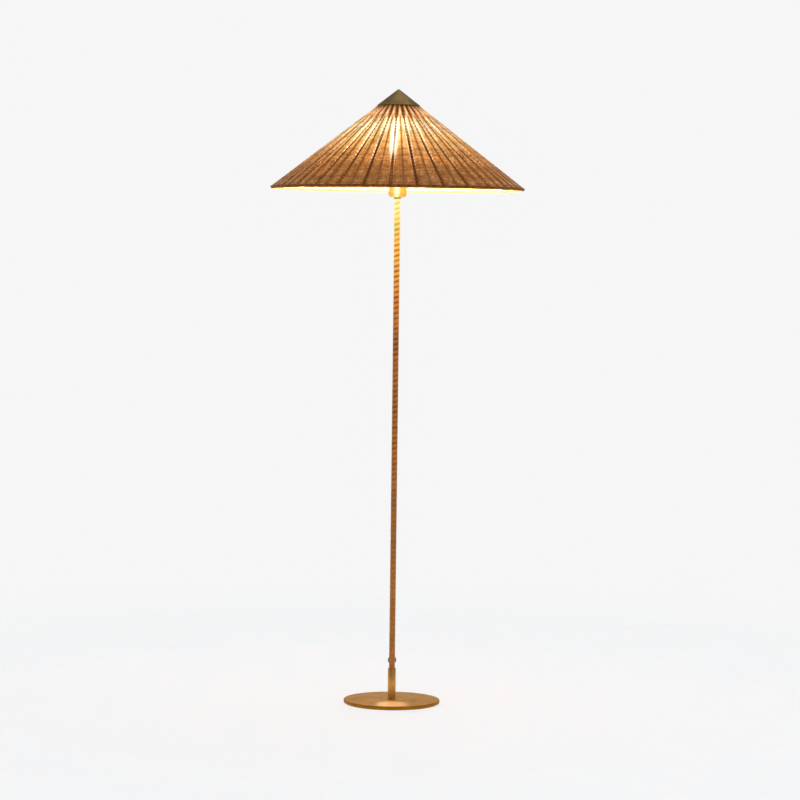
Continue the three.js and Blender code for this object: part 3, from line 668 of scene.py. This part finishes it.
def metal_material(name, color, dull, rough, wear=0.3, disc=False, turned=0.0, shaded_side_from=0.0, shine=()):
    """Lacquered or aged metal: fine turning lines, cloudy tarnish and small dark specks.
    A disc's lines run round its face. Its side, further out than shaded_side_from, is darker: painted shade."""
    m = new_material(name)
    place = m.place()
    x, y, z = m.axes(place)
    across = m.math("SQRT", m.math("ADD", m.math("POWER", x, 2.0), m.math("POWER", y, 2.0)))
    turn = m.times(m.math("ARCTAN2", y, x), 0.0015)
    lines = m.noise(m.vector(across if disc else z, turn), 2600.0, 3.0, 0.7)
    clouds = m.noise(place, 28.0, 5.0, 0.62, 0.4)
    specks = m.noise(place, 420.0, 3.0, 0.6)
    tarnish = m.math("ADD", m.span(clouds, 0.0, wear, 0.42, 0.72),
                     m.span(specks, 0.0, wear * 0.6, 0.58, 0.74))
    tone = m.mixed(color, dull, tarnish)
    if shaded_side_from:
        # painted shade on the disc's side
        tone = m.toned(tone, (0.62, 0.5, 0.24), m.rise(across, shaded_side_from - 0.0004, shaded_side_from + 0.0004))
    m.set(Base_Color=tone, Metallic=1.0,
          Roughness=m.math("ADD", m.span(clouds, rough - 0.06, rough + 0.12), m.span(lines, -0.03, 0.05)),
          Normal=m.bump(lines, 0.25, 0.00004, m.bump(specks, 0.12, 0.00008)))
    if shine:
        m.glow(m.ramp(m.rise(x, -CUP_HALF, CUP_HALF), shine))
    if turned:
        tangent = m.new("ShaderNodeTangent", direction_type="RADIAL", axis="Z")
        m.set(Anisotropic=turned, Tangent=tangent.outputs[0])
    return m.owner


def moulded_material(name, color, other, rough, scale, specks, depth=0.00006, sheen=0.0):
    """Porcelain, moulded plastic, rubber or felt: a slow change of tone, fine grain and small specks."""
    m = new_material(name)
    place = m.place()
    clouds = m.noise(place, scale, 4.0)
    grain = m.noise(place, specks, 3.0, 0.65)
    tone = m.mixed(color, other, m.span(clouds, 0.0, 0.8))
    m.set(Base_Color=m.mixed(tone, other, m.span(grain, 0.0, 0.5, 0.5, 0.75)),
          Roughness=m.span(clouds, rough - 0.08, rough + 0.08), Normal=m.bump(grain, 0.4, depth))
    if sheen:
        m.set(Sheen_Weight=sheen)
    return m.owner


def bulb_material():
    """Opal glass, lit from inside."""
    m = new_material("opal_glass_lit")
    clouds = m.noise(m.place(), 40.0, 2.0)
    m.set(Base_Color=m.ramp(clouds, [(0.3, (0.95, 0.86, 0.7)), (0.7, (1.0, 0.92, 0.78))]),
          Roughness=m.span(clouds, 0.3, 0.4))
    m.glow(m.ramp(clouds, [(0.3, (1.0, 0.88, 0.62)), (0.7, (1.0, 0.92, 0.68))]), BULB_STRENGTH)
    return m.owner


cane = cane_material("cane_weave", WEAVE_TONES, 0.45, lit_weave, mottle_and_highlights=0.7)
rim_cane = cane_material("cane_rim", RIM_TONES, 0.5, lit_rim)
rib_cane = cane_material("cane_ribs", RIB_TONES, 0.6, lit_ribs)
wrap_cane = cane_material("cane_wrap", WRAP_TONES, 0.42, lit_pole, depth=0.0001, fibre=1400)
brass = metal_material("brass_brushed", rgb(208, 154, 82), rgb(156, 102, 46), 0.3, 0.35)
cup_brass = metal_material("brass_polished", rgb(232, 178, 92), rgb(206, 148, 64), 0.4, 0.15, shine=CUP_SHINE)
plate_brass = metal_material("brass_turned", rgb(214, 158, 68), rgb(174, 116, 42), 0.5, disc=True,
                             turned=0.2, shaded_side_from=0.1166)
cap_brass = metal_material("brass_aged", rgb(114, 90, 49), rgb(84, 63, 32), 0.48, 0.5, disc=True, turned=0.2)
pole_brass = metal_material("pole_tube_dark", rgb(96, 66, 34), rgb(58, 38, 18), 0.5, 0.5)
dark_brass = metal_material("brass_dark", rgb(216, 150, 62), rgb(170, 110, 40), 0.42, 0.4)
steel = metal_material("steel_plated", rgb(186, 184, 178), rgb(120, 116, 108), 0.34)
bulb_cap_metal = metal_material("bulb_cap_metal", rgb(200, 196, 188), rgb(140, 134, 120), 0.3)
felt = moulded_material("felt_dark", rgb(48, 42, 38), rgb(30, 26, 24), 0.92, 90.0, 1500.0, 0.0004, 0.4)
porcelain = moulded_material("porcelain_glazed", rgb(238, 232, 220), rgb(222, 212, 196), 0.25, 30.0, 200.0,
                             0.00002)
bakelite = moulded_material("bakelite_brown", rgb(58, 42, 32), rgb(36, 26, 20), 0.35, 50.0, 700.0)
outlet_plastic = moulded_material("outlet_plastic", rgb(128, 96, 76), rgb(104, 76, 58), 0.42, 60.0, 800.0)
wire_paint = moulded_material("wire_painted", rgb(196, 160, 92), rgb(180, 142, 78), 0.5, 80.0, 900.0)
cable_sleeve = moulded_material("cable_sleeve", rgb(56, 46, 36), rgb(40, 32, 24), 0.75, 200.0, 1800.0, 0.0002)
opal = bulb_material()

# CAD nodes that keep their shape and get a better finish
FINISHES = (
    (steel, ("base_washer", "base_nut", "base_nipple", "cup_locknut")),
    (brass, ("stem_plug", "stem_bush", "screw_shell", "centre_contact", "terminal_screw_left",
             "terminal_screw_right", "cap_nut")),
    (bakelite, ("cord_outlet_bush", "shade_ring_lower", "shade_ring_upper")),
    (felt, ("base_felt",)),
    (pole_brass, ("pole_tube",)),
    (cable_sleeve, ("inner_lead",)),
    (outlet_plastic, ("cord_outlet_boss",)),
    (porcelain, ("holder_insert",)),
    (bulb_cap_metal, ("bulb_cap",)),
)


def finish_nodes():
    for material, names in FINISHES:
        for name in names:
            node = nodes[name]
            for slot in node.material_slots:
                slot.material = material
            if not node.material_slots:
                node.data.materials.append(material)


def dress(piece, material, body, node):
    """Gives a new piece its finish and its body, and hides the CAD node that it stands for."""
    piece.data.materials.append(material)
    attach(piece, body)
    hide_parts(node)
    return piece


# Shade: canes in courses of three, in and out of the ribs

CANES_PER_COURSE = 3
CANE_WIDTH = 4.12
CANE_SPACING = 4.08
CANE_DEPTH = 2.0
SWING = 2.5
SWING_LIMIT = 2.65
SWING_SHIFT = -0.1
FOLD_WIDTH = 4.4
FOLD_SHARE = 0.6
MIDDLE_CROWN = 0.25  # how far a course's middle cane stands proud
DIP_CLOSING = 0.05  # share by which canes close up behind a bare rib
UPPER_COURSES = 13
RIB_WIDTH = 4.6
RIB_SHARE = 0.85
RIB_DEPTH = 2.2
RIB_STEPS = 24
RIB_BOW = 0.0024
RIB_OVER = 3.5  # rib above the weave
RIB_SHORT = 0.2  # and short of its lower end
TOP_RING = 2.4  # middle of the ring at the ribs' upper ends, above the weave
HOOP_WRAPS = 260
HOOP_STEPS = 1440
HOOP_CORNERS = 14
HOOP_SQUARE = 2.6  # 2 would be an oval section, and more is squarer
HOOP_GROOVE = 0.07
STRUTS = 3
RIM_INSET = 9.0
CROWN_INSET = 1.6
BRIDGE_WIDTH = 12.0
ARMS = 3
ARM = 4.0
ARM_ROOT = 28.6
ARM_OVERHANG = 3.0
FITTER = (20.0, 31.0)
CAP_SHEET = 1.0
CAP_ROUND = 2.2  # radius within which the cap's tip is rounded off
STUD_RADIUS = 2.0


def drift(size, along, waves):
    """A slow seeded wander along a strand."""
    return sum(random.uniform(-size, size) * np.sin(k * along + random.uniform(0, TURN)) for k in waves)


def fold_width(radius):
    """Half the width of the fold behind a bare rib."""
    return min(FOLD_WIDTH, FOLD_SHARE * TURN / RIBS * radius)


def wave_angles(radius):
    """Angles round the shade, closer together where the canes dip behind a bare rib."""
    period = 2 * TURN / RIBS
    half = TURN / RIBS * radius
    width = fold_width(radius)
    outer = min(1.5 * width, 0.8 * half)
    arcs = np.array([0.45 * width, 0.8 * width, 1.1 * width, outer, (outer + half) / 2])
    part = arcs / (2 * half)
    places = np.concatenate([[-0.5], -part[::-1], [0], part])
    bare = RIB_TURN + period * (np.arange(RIBS // 2) + 0.5)
    return (bare[:, None] + places[None, :] * period).ravel(), np.tile(np.abs(places) * period, RIBS // 2)


def weave_lift(off, radius):
    """1 over the covered ribs and -1 behind the bare ones. off is the angle from the nearest bare rib."""
    half = TURN / RIBS * radius
    dip = np.exp(-(off * radius / fold_width(radius)) ** 4)
    arch = 0.2 * (1 - (1 - np.clip(off * radius / half, 0, 1)) ** 2)
    return 0.8 + arch - 1.8 * dip


def cane_ring(along, spread, seed):
    """Path and upward directions of one cane round the shade. spread is its place in the course."""
    random.seed(seed)
    radius = along * COS
    angle, off = wave_angles(radius)
    wave = weave_lift(off, radius)
    wander = drift(0.04, angle, (3, 7, 13, 22))
    bulge = drift(0.05, angle, (5, 11, 17))
    crown = 0.0 if spread else MIDDLE_CROWN
    tight = 1.0 - DIP_CLOSING * np.clip(-wave, 0, 1)
    here = along + spread * CANE_SPACING * tight + wander
    lift = np.clip(SWING * wave + bulge + crown + SWING_SHIFT, -SWING_LIMIT, SWING_LIMIT)
    rho, height = slope_point(here, lift)
    return round_axis(rho, angle, height), off_slope(angle)


def make_weave():
    pitch = (WEAVE_END - WEAVE_START) / COURSES
    # four flat corners and two side points give a round-edged split cane
    section = [(0.5, 0.0), (0.3, 0.5), (-0.3, 0.5), (-0.5, 0.0), (-0.3, -0.5), (0.3, -0.5)]
    section = [(x * CANE_WIDTH, y * CANE_DEPTH) for x, y in section]
    tones = random.Random(41)
    bands = (("shade_canes_upper", 0, UPPER_COURSES), ("shade_canes_lower", UPPER_COURSES, COURSES))
    for name, first, last in bands:
        bundle = Bundle()
        for course in range(first, last):
            middle = WEAVE_START + pitch * (course + 0.5)
            course_tone = tones.uniform(0.38, 0.62)
            for k in range(CANES_PER_COURSE):
                path, ups = cane_ring(middle, k - 1, 100 + course * CANES_PER_COURSE + k)
                tone = min(1, max(0, course_tone + tones.uniform(-0.3, 0.3)))
                bundle.add(path, section, True, ups, tone)
        dress(bundle.piece(name), cane, "shade", "shade_weave")


def make_ribs():
    bundle = Bundle()
    tones = random.Random(7)
    t = np.arange(RIB_STEPS + 1) / RIB_STEPS
    length = WEAVE_END - RIB_SHORT - WEAVE_START + RIB_OVER
    radius, height = slope_point(WEAVE_START - RIB_OVER + length * t, 0)
    sections = [oval(min(RIB_WIDTH, RIB_SHARE * TURN / RIBS * r), RIB_DEPTH, 8) for r in radius]
    for i in range(RIBS):
        angle = RIB_TURN + TURN * i / RIBS
        bow = tones.uniform(-RIB_BOW, RIB_BOW)
        path = round_axis(radius, angle + bow * np.sin(math.pi * t), height)
        bundle.add(path, sections, False, off_slope(angle), tones.uniform(0, 1))
    angle = around(120)
    radius, height = slope_point(WEAVE_START - TOP_RING, 0)
    bundle.add(round_axis(radius, angle, height), oval(3.0, 2.0, 8), True, off_slope(angle))
    dress(bundle.piece("shade_rib_canes"), rib_cane, "shade", "shade_ribs")


def make_rim():
    """The hoop: a core wound closely with thin flat cane."""
    angle = around(HOOP_STEPS)
    radius, height = slope_point(HOOP_END - HOOP_WIDTH / 2, 0)
    wraps = (angle * HOOP_WRAPS / TURN)[:, None] + np.arange(HOOP_CORNERS) / HOOP_CORNERS
    groove = np.clip(1 - np.abs(wraps % 1.0 - 0.5) / 0.5, 0, 1) ** 0.35
    scale = 1 - HOOP_GROOVE + HOOP_GROOVE * groove
    x, y = np.cos(around(HOOP_CORNERS)), np.sin(around(HOOP_CORNERS))
    wide = scale / (abs(x) ** HOOP_SQUARE + abs(y) ** HOOP_SQUARE) ** (1 / HOOP_SQUARE)
    sections = np.stack([x * wide * HOOP_WIDTH / 2, y * wide * HOOP_DEPTH / 2], -1)
    points, faces, uvs = sweep(round_axis(radius, angle, height), sections, True, off_slope(angle))
    strand = (wraps // 1 * 0.37 % 1.0).ravel()
    piece = mesh_object("shade_rim_binding", points, faces, None, uvs, strand)
    dress(piece, rim_cane, "shade", "rim_hoop")


def make_frame():
    bundle = Bundle()
    crown, rim = WEAVE_START + CROWN_INSET, WEAVE_END - RIM_INSET
    wire = oval(WIRE, WIRE, 10)
    for along in (crown, CARRIER, rim):
        radius, height = slope_point(along, -WIRE_DROP)
        bundle.add(round_axis(radius, around(144), height), wire, True, UP)
    radii, heights = slope_point(np.array([crown, rim]), -WIRE_DROP)
    for i in range(STRUTS):
        ends = round_axis(radii, TURN * i / STRUTS, heights)
        bundle.add(np.linspace(*ends, 9), wire, False, UP)
    bridge = np.linspace((-radii[0], 0, heights[0]), (radii[0], 0, heights[0]), 9)
    bundle.add(bridge, flat_section(BRIDGE_WIDTH, 0.5), False, UP)
    dress(bundle.piece("shade_wire_frame", 40), wire_paint, "shade", "shade_frame")


def make_spider():
    bundle = Bundle()
    inner, outer = FITTER
    middle = low_z("shade_spider") + SHEET / 2
    ring = round_axis((inner + outer) / 2, around(96), middle)
    bundle.add(ring, flat_section(outer - inner, 0.4), True, UP)
    seat = slope_point(CARRIER, -WIRE_DROP)[1] - WIRE / 2 - GAP - ARM / 2
    radius = np.linspace(ARM_ROOT, CARRIER_RADIUS + ARM_OVERHANG, 13)
    height = middle + (seat - middle) / (CARRIER_RADIUS - ARM_ROOT) * (radius - ARM_ROOT)
    for i in range(ARMS):
        bundle.add(round_axis(radius, math.pi + TURN * i / ARMS, height), oval(ARM, ARM, 12), False, UP)
    dress(bundle.piece("shade_spider_arms", 40), wire_paint, "shade", "shade_spider")


def make_cap():
    """The cone with a hemmed edge, and the stud under its tip."""
    along = np.linspace(0, 1, 14) * (CAP_RADIUS - CAP_LIFT * SIN) / COS
    outer = list(zip(*slope_point(along, CAP_LIFT)))
    inner = list(zip(*slope_point(along, CAP_LIFT - CAP_SHEET)))
    under = [p for p in inner if p[0] > STUD_RADIUS + 0.6]
    lip, brim = inner[-1], outer[-1]
    outline = [(0, STUD_END), (STUD_RADIUS - 0.1, STUD_END), (STUD_RADIUS, STUD_END + 0.5),
               (STUD_RADIUS, under[0][1] - 0.5)] + under
    outline += [(lip[0] + 0.1, lip[1] - 0.15), ((lip[0] + brim[0]) / 2 + 0.25, (lip[1] + brim[1]) / 2 - 0.35),
                (brim[0], brim[1] + 0.1)]
    outline += [p for p in reversed(outer) if CAP_ROUND < p[0] < brim[0] - 0.5]
    outline += [(1.5, TIP - 1.35), (0.7, TIP - 0.75), (0, TIP - 0.55)]
    dress(lathe("shade_cap_cone", outline, 128, 50), cap_brass, "shade", "shade_cap")


# Base and stem

RECESS = (15.0, 5.0)  # radius and depth under the base
NIPPLE_HOLE = 5.3
STEM_WALL = 1.8


def make_base():
    low, high, side = low_z("base_plate"), high_z("base_plate"), side_x("base_plate")
    outline = [
        (RECESS[0], low), (side - 1.4, low), (side - 0.4, low + 0.4), (side, low + 1.2),
        (side, high - 1.4), (side - 0.3, high - 0.5), (side - 1.1, high - 0.05), (side - 2.0, high),
        (60.0, high), (NIPPLE_HOLE, high), (NIPPLE_HOLE, low + RECESS[1]), (RECESS[0], low + RECESS[1]),
    ]
    return dress(lathe("base_disc", outline, 192), plate_brass, "stand", "base_plate")


def make_stem():
    low, high, outer = low_z("stem_tube"), high_z("stem_tube"), side_x("stem_tube")
    inner = outer - STEM_WALL
    outline = [(inner, low), (outer, low), (outer, low + 20), (outer, low + 45), (outer, high - 0.6),
               (outer - 0.2, high - 0.15), (outer - 0.6, high), (inner + 0.2, high), (inner, high - 0.2)]
    dress(lathe("stem_sleeve", outline), brass, "stand", "stem_tube")


# Pole wrapping: flat strips wound up the pole, butted end to end

OUTLET_HEIGHT = 105.0
WRAP_INNER = 5.8
WRAP_OUTER = 7.25
WRAP_STEPS = 40  # for each turn
STRIP_TONES = (0.5, 0.35, 0.65, 0.45, 0.55)
# across and out, in shares of the strip: flat inside, crowned outside, with soft edges
STRIP_SHAPE = [(-0.5, 0.15), (-0.5, 0.55), (-0.46, 0.8), (-0.36, 0.93), (-0.15, 1.0), (0.15, 1.0),
               (0.36, 0.93), (0.46, 0.8), (0.5, 0.55), (0.5, 0.15), (0.4, 0.0), (-0.4, 0.0)]


def make_wrapping():
    half = STRIP_WIDTH / 2
    up, out = np.array(STRIP_SHAPE).T
    radius = WRAP_INNER + out * (WRAP_OUTER - WRAP_INNER)
    for i, tone in enumerate(STRIP_TONES, 1):
        node = f"cane_wrap_{i}"
        low, high = low_z(node), high_z(node)
        # the last strip runs on past its end, and is cut off flat there
        end = high + half if i == len(STRIP_TONES) else high - half
        first, last = (low + half - OUTLET_HEIGHT) / STRIP_PITCH, (end - OUTLET_HEIGHT) / STRIP_PITCH
        count = int((last - first) * WRAP_STEPS)
        turns = np.linspace(first, last, count)[:, None]
        random.seed(i)
        height = OUTLET_HEIGHT + turns * STRIP_PITCH + up * STRIP_WIDTH + drift(0.05, turns, (1.3, 2.9, 5.1))
        points = round_axis(radius, math.pi + turns * TURN, np.minimum(height, high)).reshape(-1, 3)
        grain = np.broadcast_arrays(turns * TURN * WRAP_OUTER, (up + 0.5) * STRIP_WIDTH)
        uvs = np.stack(grain, -1).reshape(-1, 2) * MM
        faces = [face[::-1] for face in tube_faces(count, len(up))]
        piece = mesh_object(f"pole_strip_{i}", points, faces, None, uvs, np.full(len(points), tone))
        dress(piece, wrap_cane, "stand", node)


# Lamp holder and bulb

POLE_HOLE = 6.0
COLLAR_RADIUS = 9.5
CUP_CORNER = (6.0, 9.0)  # across and up
BULB_RADIUS = 30.0
BULB_NECK = 12.0
BULB_WALL = 0.8


def make_holder():
    low, high = low_z("pole_collar"), high_z("pole_collar")
    collar = softened([(POLE_HOLE, low), (COLLAR_RADIUS, low), (COLLAR_RADIUS, high), (POLE_HOLE, high)], 0.6)
    dress(lathe("neck_collar", collar), dark_brass, "stand", "pole_collar")
    low, high, side = low_z("holder_cup"), high_z("holder_cup"), side_x("holder_cup")
    across, up = CUP_CORNER
    foot = side - across
    quarter = np.linspace(0, math.pi / 2, 11)
    outline = [(POLE_HOLE, low)]
    outline += [(foot + across * math.sin(a), low + up * (1 - math.cos(a))) for a in quarter]
    outline += [(side, low + 20), (side, low + 40), (side, high - 3.2), (side - 0.3, high - 2.9),
                (side - 0.3, high - 2.3), (side, high - 2.0), (side, high - 0.2), (side - 0.2, high),
                (side - 0.8, high), (side - 1.0, high - 0.2)]
    outline += [(foot + (across - 1) * math.cos(a), low + up - (up - 1) * math.sin(a)) for a in quarter]
    outline += [(POLE_HOLE, low + 1)]
    return dress(lathe("holder_shell", outline), cup_brass, "stand", "holder_cup")


def make_bulb():
    """The globe, and the height of its centre."""
    low, high = low_z("bulb_glass"), high_z("bulb_glass")
    centre = high - BULB_RADIUS
    start = math.atan2(low - centre, BULB_NECK) + math.acos(BULB_RADIUS / math.hypot(low - centre, BULB_NECK))
    outer, inner = ([(radius * math.cos(a), centre + radius * math.sin(a))
                     for a in np.linspace(start, math.pi / 2, 20)[:-1]] + [(0, centre + radius)]
                    for radius in (BULB_RADIUS, BULB_RADIUS - BULB_WALL))
    neck = [(BULB_NECK - BULB_WALL, low), (BULB_NECK, low), (BULB_NECK, low + 2)]
    globe = lathe("bulb_globe", inner[::-1] + neck + outer, 48, 50)
    return dress(globe, opal, "bulb", "bulb_glass"), centre


# Studio: a pale floor that fades into an even pale background, and soft light

FLOOR_RADIUS = 4.5
FLOOR_DROP = 0.0002
FLOOR_FADE = (0.9, 2.4)  # distances from the lamp between which the floor fades away
FLOOR_GREYS = shares((0.3, 0.34), (0.7, 0.36))
FLOOR_TINT = (0.97, 1.0, 1.025)
FLOOR_GLOW = 0.68
BACKGROUND = (0.922, 0.922, 0.922)
WORLD_BACK = 0.8
WORLD_FRONT = 0.2
WORLD_TOP = 0.55
FRONT_TO_BACK = (-0.45, 0.35)
SIDES_TO_TOP = (0.3, 0.95)
# name, place, height that it aims at, width and height, watts
SOFTBOXES = (
    ("softbox_left", (-3.0, -2.4, 2.0), 0.9, (1.2, 2.2), 8),
    ("softbox_right", (2.0, -3.6, 2.2), 0.8, (1.2, 2.0), 20),
    ("softbox_top", (0.3, 0.6, 3.4), 0.6, (2.0, 2.0), 16),
    ("softbox_front", (-0.1, -5.2, 1.5), 1.1, (0.8, 1.8), 300.0),
)
POOL_PLACE = (0.0, 1.5, 0.9)
POOL_AIM = (0.0, -0.112, 0.008)
POOL_ANGLE = math.radians(3.2)
POOL_WATTS = 16.0
BULB_WATTS = 200.0
BULB_COLOR = (1.0, 0.9, 0.69)
BULB_LIGHT_RADIUS = 0.031


def make_floor():
    mesh = bpy.data.meshes.new("studio_floor")
    ring = [(FLOOR_RADIUS * x, FLOOR_RADIUS * y, -FLOOR_DROP) for x, y in oval(2, 2, 128)]
    mesh.from_pydata(ring, [], [list(range(len(ring)))])
    floor = added(bpy.data.objects.new("studio_floor", mesh))
    m = new_material("studio_floor")
    distance = m.new("ShaderNodeVectorMath", m.place(), operation="LENGTH").outputs["Value"]
    m.set(Base_Color=m.ramp(m.noise(m.place(), 6.0, 2.0), FLOOR_GREYS), Roughness=0.9)
    m.glow(FLOOR_TINT, FLOOR_GLOW)
    clear = m.new("ShaderNodeBsdfTransparent").outputs[0]
    mix = m.new("ShaderNodeMixShader", m.fall(distance, *FLOOR_FADE), clear, m.shader.outputs[0])
    m.link(mix.outputs[0], m.tree.nodes["Material Output"].inputs["Surface"])
    mesh.materials.append(m.owner)
    return floor


def make_world():
    """Even and pale for the camera. As light it is weaker from the front than from the back and above."""
    world = bpy.data.worlds.new("studio")
    bpy.context.scene.world = world
    w = Nodes(world)
    w.tree.nodes.clear()
    seen = w.new("ShaderNodeBackground", BACKGROUND).outputs[0]
    light = w.new("ShaderNodeBackground")
    _, y, z = w.axes(w.place("Generated"))
    eased = dict(interpolation_type="SMOOTHSTEP")
    level = w.span(y, WORLD_FRONT, WORLD_BACK, *FRONT_TO_BACK, **eased)
    w.fill(light, Strength=w.span(z, level, WORLD_TOP, *SIDES_TO_TOP, **eased))
    by_camera = w.new("ShaderNodeLightPath").outputs["Is Camera Ray"]
    mix = w.new("ShaderNodeMixShader", by_camera, light.outputs[0], seen)
    w.new("ShaderNodeOutputWorld", mix.outputs[0])


def new_light(name, kind, place, watts, aim=None):
    lamp = added(bpy.data.objects.new(name, bpy.data.lights.new(name, kind)))
    lamp.data.energy = watts
    lamp.location = place
    if aim:
        lamp.rotation_euler = (Vector(aim) - Vector(place)).to_track_quat("-Z", "Y").to_euler()
    return lamp


def make_lights():
    """The softboxes, of which the last is the front one, and the spot behind the base."""
    for name, place, aim, size, watts in SOFTBOXES:
        front = new_light(name, "AREA", place, watts, (0, 0, aim))
        front.data.shape = "RECTANGLE"
        front.data.size, front.data.size_y = size
    pool = new_light("pool_spot", "SPOT", POOL_PLACE, POOL_WATTS, POOL_AIM)
    pool.data.spot_size, pool.data.spot_blend = POOL_ANGLE, 1.0
    return front, pool


def make_bulb_light(height, unlit):
    """The bulb's own light on the inside of the shade and on the pole. It leaves out the unlit pieces."""
    lamp = new_light("bulb_light", "POINT", (0, 0, height * MM), BULB_WATTS)
    lamp.data.color = BULB_COLOR
    lamp.data.shadow_soft_size = BULB_LIGHT_RADIUS
    lamp.data.use_soft_falloff = False
    lamp.visible_camera = lamp.visible_glossy = False
    others = bpy.data.collections.new("not_lit_by_bulb")
    for piece in unlit:
        others.objects.link(piece)
    lamp.light_linking.receiver_collection = others
    for member in others.collection_objects:
        member.light_linking.link_state = "EXCLUDE"


def light_only(lamp, piece):
    """Keeps a light to one piece, for the glints on the bare metal."""
    lit = bpy.data.collections.new("lit_by_" + lamp.name)
    lit.objects.link(piece)
    lamp.light_linking.receiver_collection = lit
    lamp.light_linking.blocker_collection = lit


CAMERA_DISTANCE = 6.944
CAMERA_HEIGHT = 1.11407
CAMERA_FOCAL = 2850.4  # in pixels of the 800 pixel wide frame
CAMERA_YAW = math.radians(0.0989)
CAMERA_PITCH = math.radians(3.0490)
CAMERA_ROLL = math.radians(0.6847)
SENSOR = 36.0


def make_camera():
    data = bpy.data.cameras.new("camera")
    data.sensor_width = SENSOR
    data.sensor_fit = "HORIZONTAL"
    data.lens = CAMERA_FOCAL / 800 * SENSOR
    data.clip_end = 100
    camera = bpy.data.objects.new("camera", data)
    ahead = Vector((math.sin(CAMERA_YAW) * math.cos(CAMERA_PITCH),
                    math.cos(CAMERA_YAW) * math.cos(CAMERA_PITCH), -math.sin(CAMERA_PITCH)))
    right = Vector((math.cos(CAMERA_YAW), -math.sin(CAMERA_YAW), 0))
    up = right.cross(ahead)
    c, s = math.cos(CAMERA_ROLL), math.sin(CAMERA_ROLL)
    right, up = right * c + up * s, up * c - right * s
    matrix = Matrix((right, up, -ahead)).transposed().to_4x4()
    matrix.translation = Vector((0, -CAMERA_DISTANCE, CAMERA_HEIGHT))
    camera.matrix_world = matrix
    bpy.context.scene.camera = added(camera)


make_camera()
studio_floor = make_floor()
make_world()
front_light, pool_light = make_lights()
make_weave()
make_ribs()
make_rim()
make_frame()
make_spider()
make_cap()
light_only(pool_light, make_base())
make_stem()
make_wrapping()
light_only(front_light, make_holder())
globe, globe_height = make_bulb()
make_bulb_light(globe_height, (studio_floor, globe))
finish_nodes()

view = bpy.context.scene.view_settings
view.view_transform = "Standard"
view.look = "None"
view.exposure = 0
view.gamma = 1

bpy.context.view_layer.update()
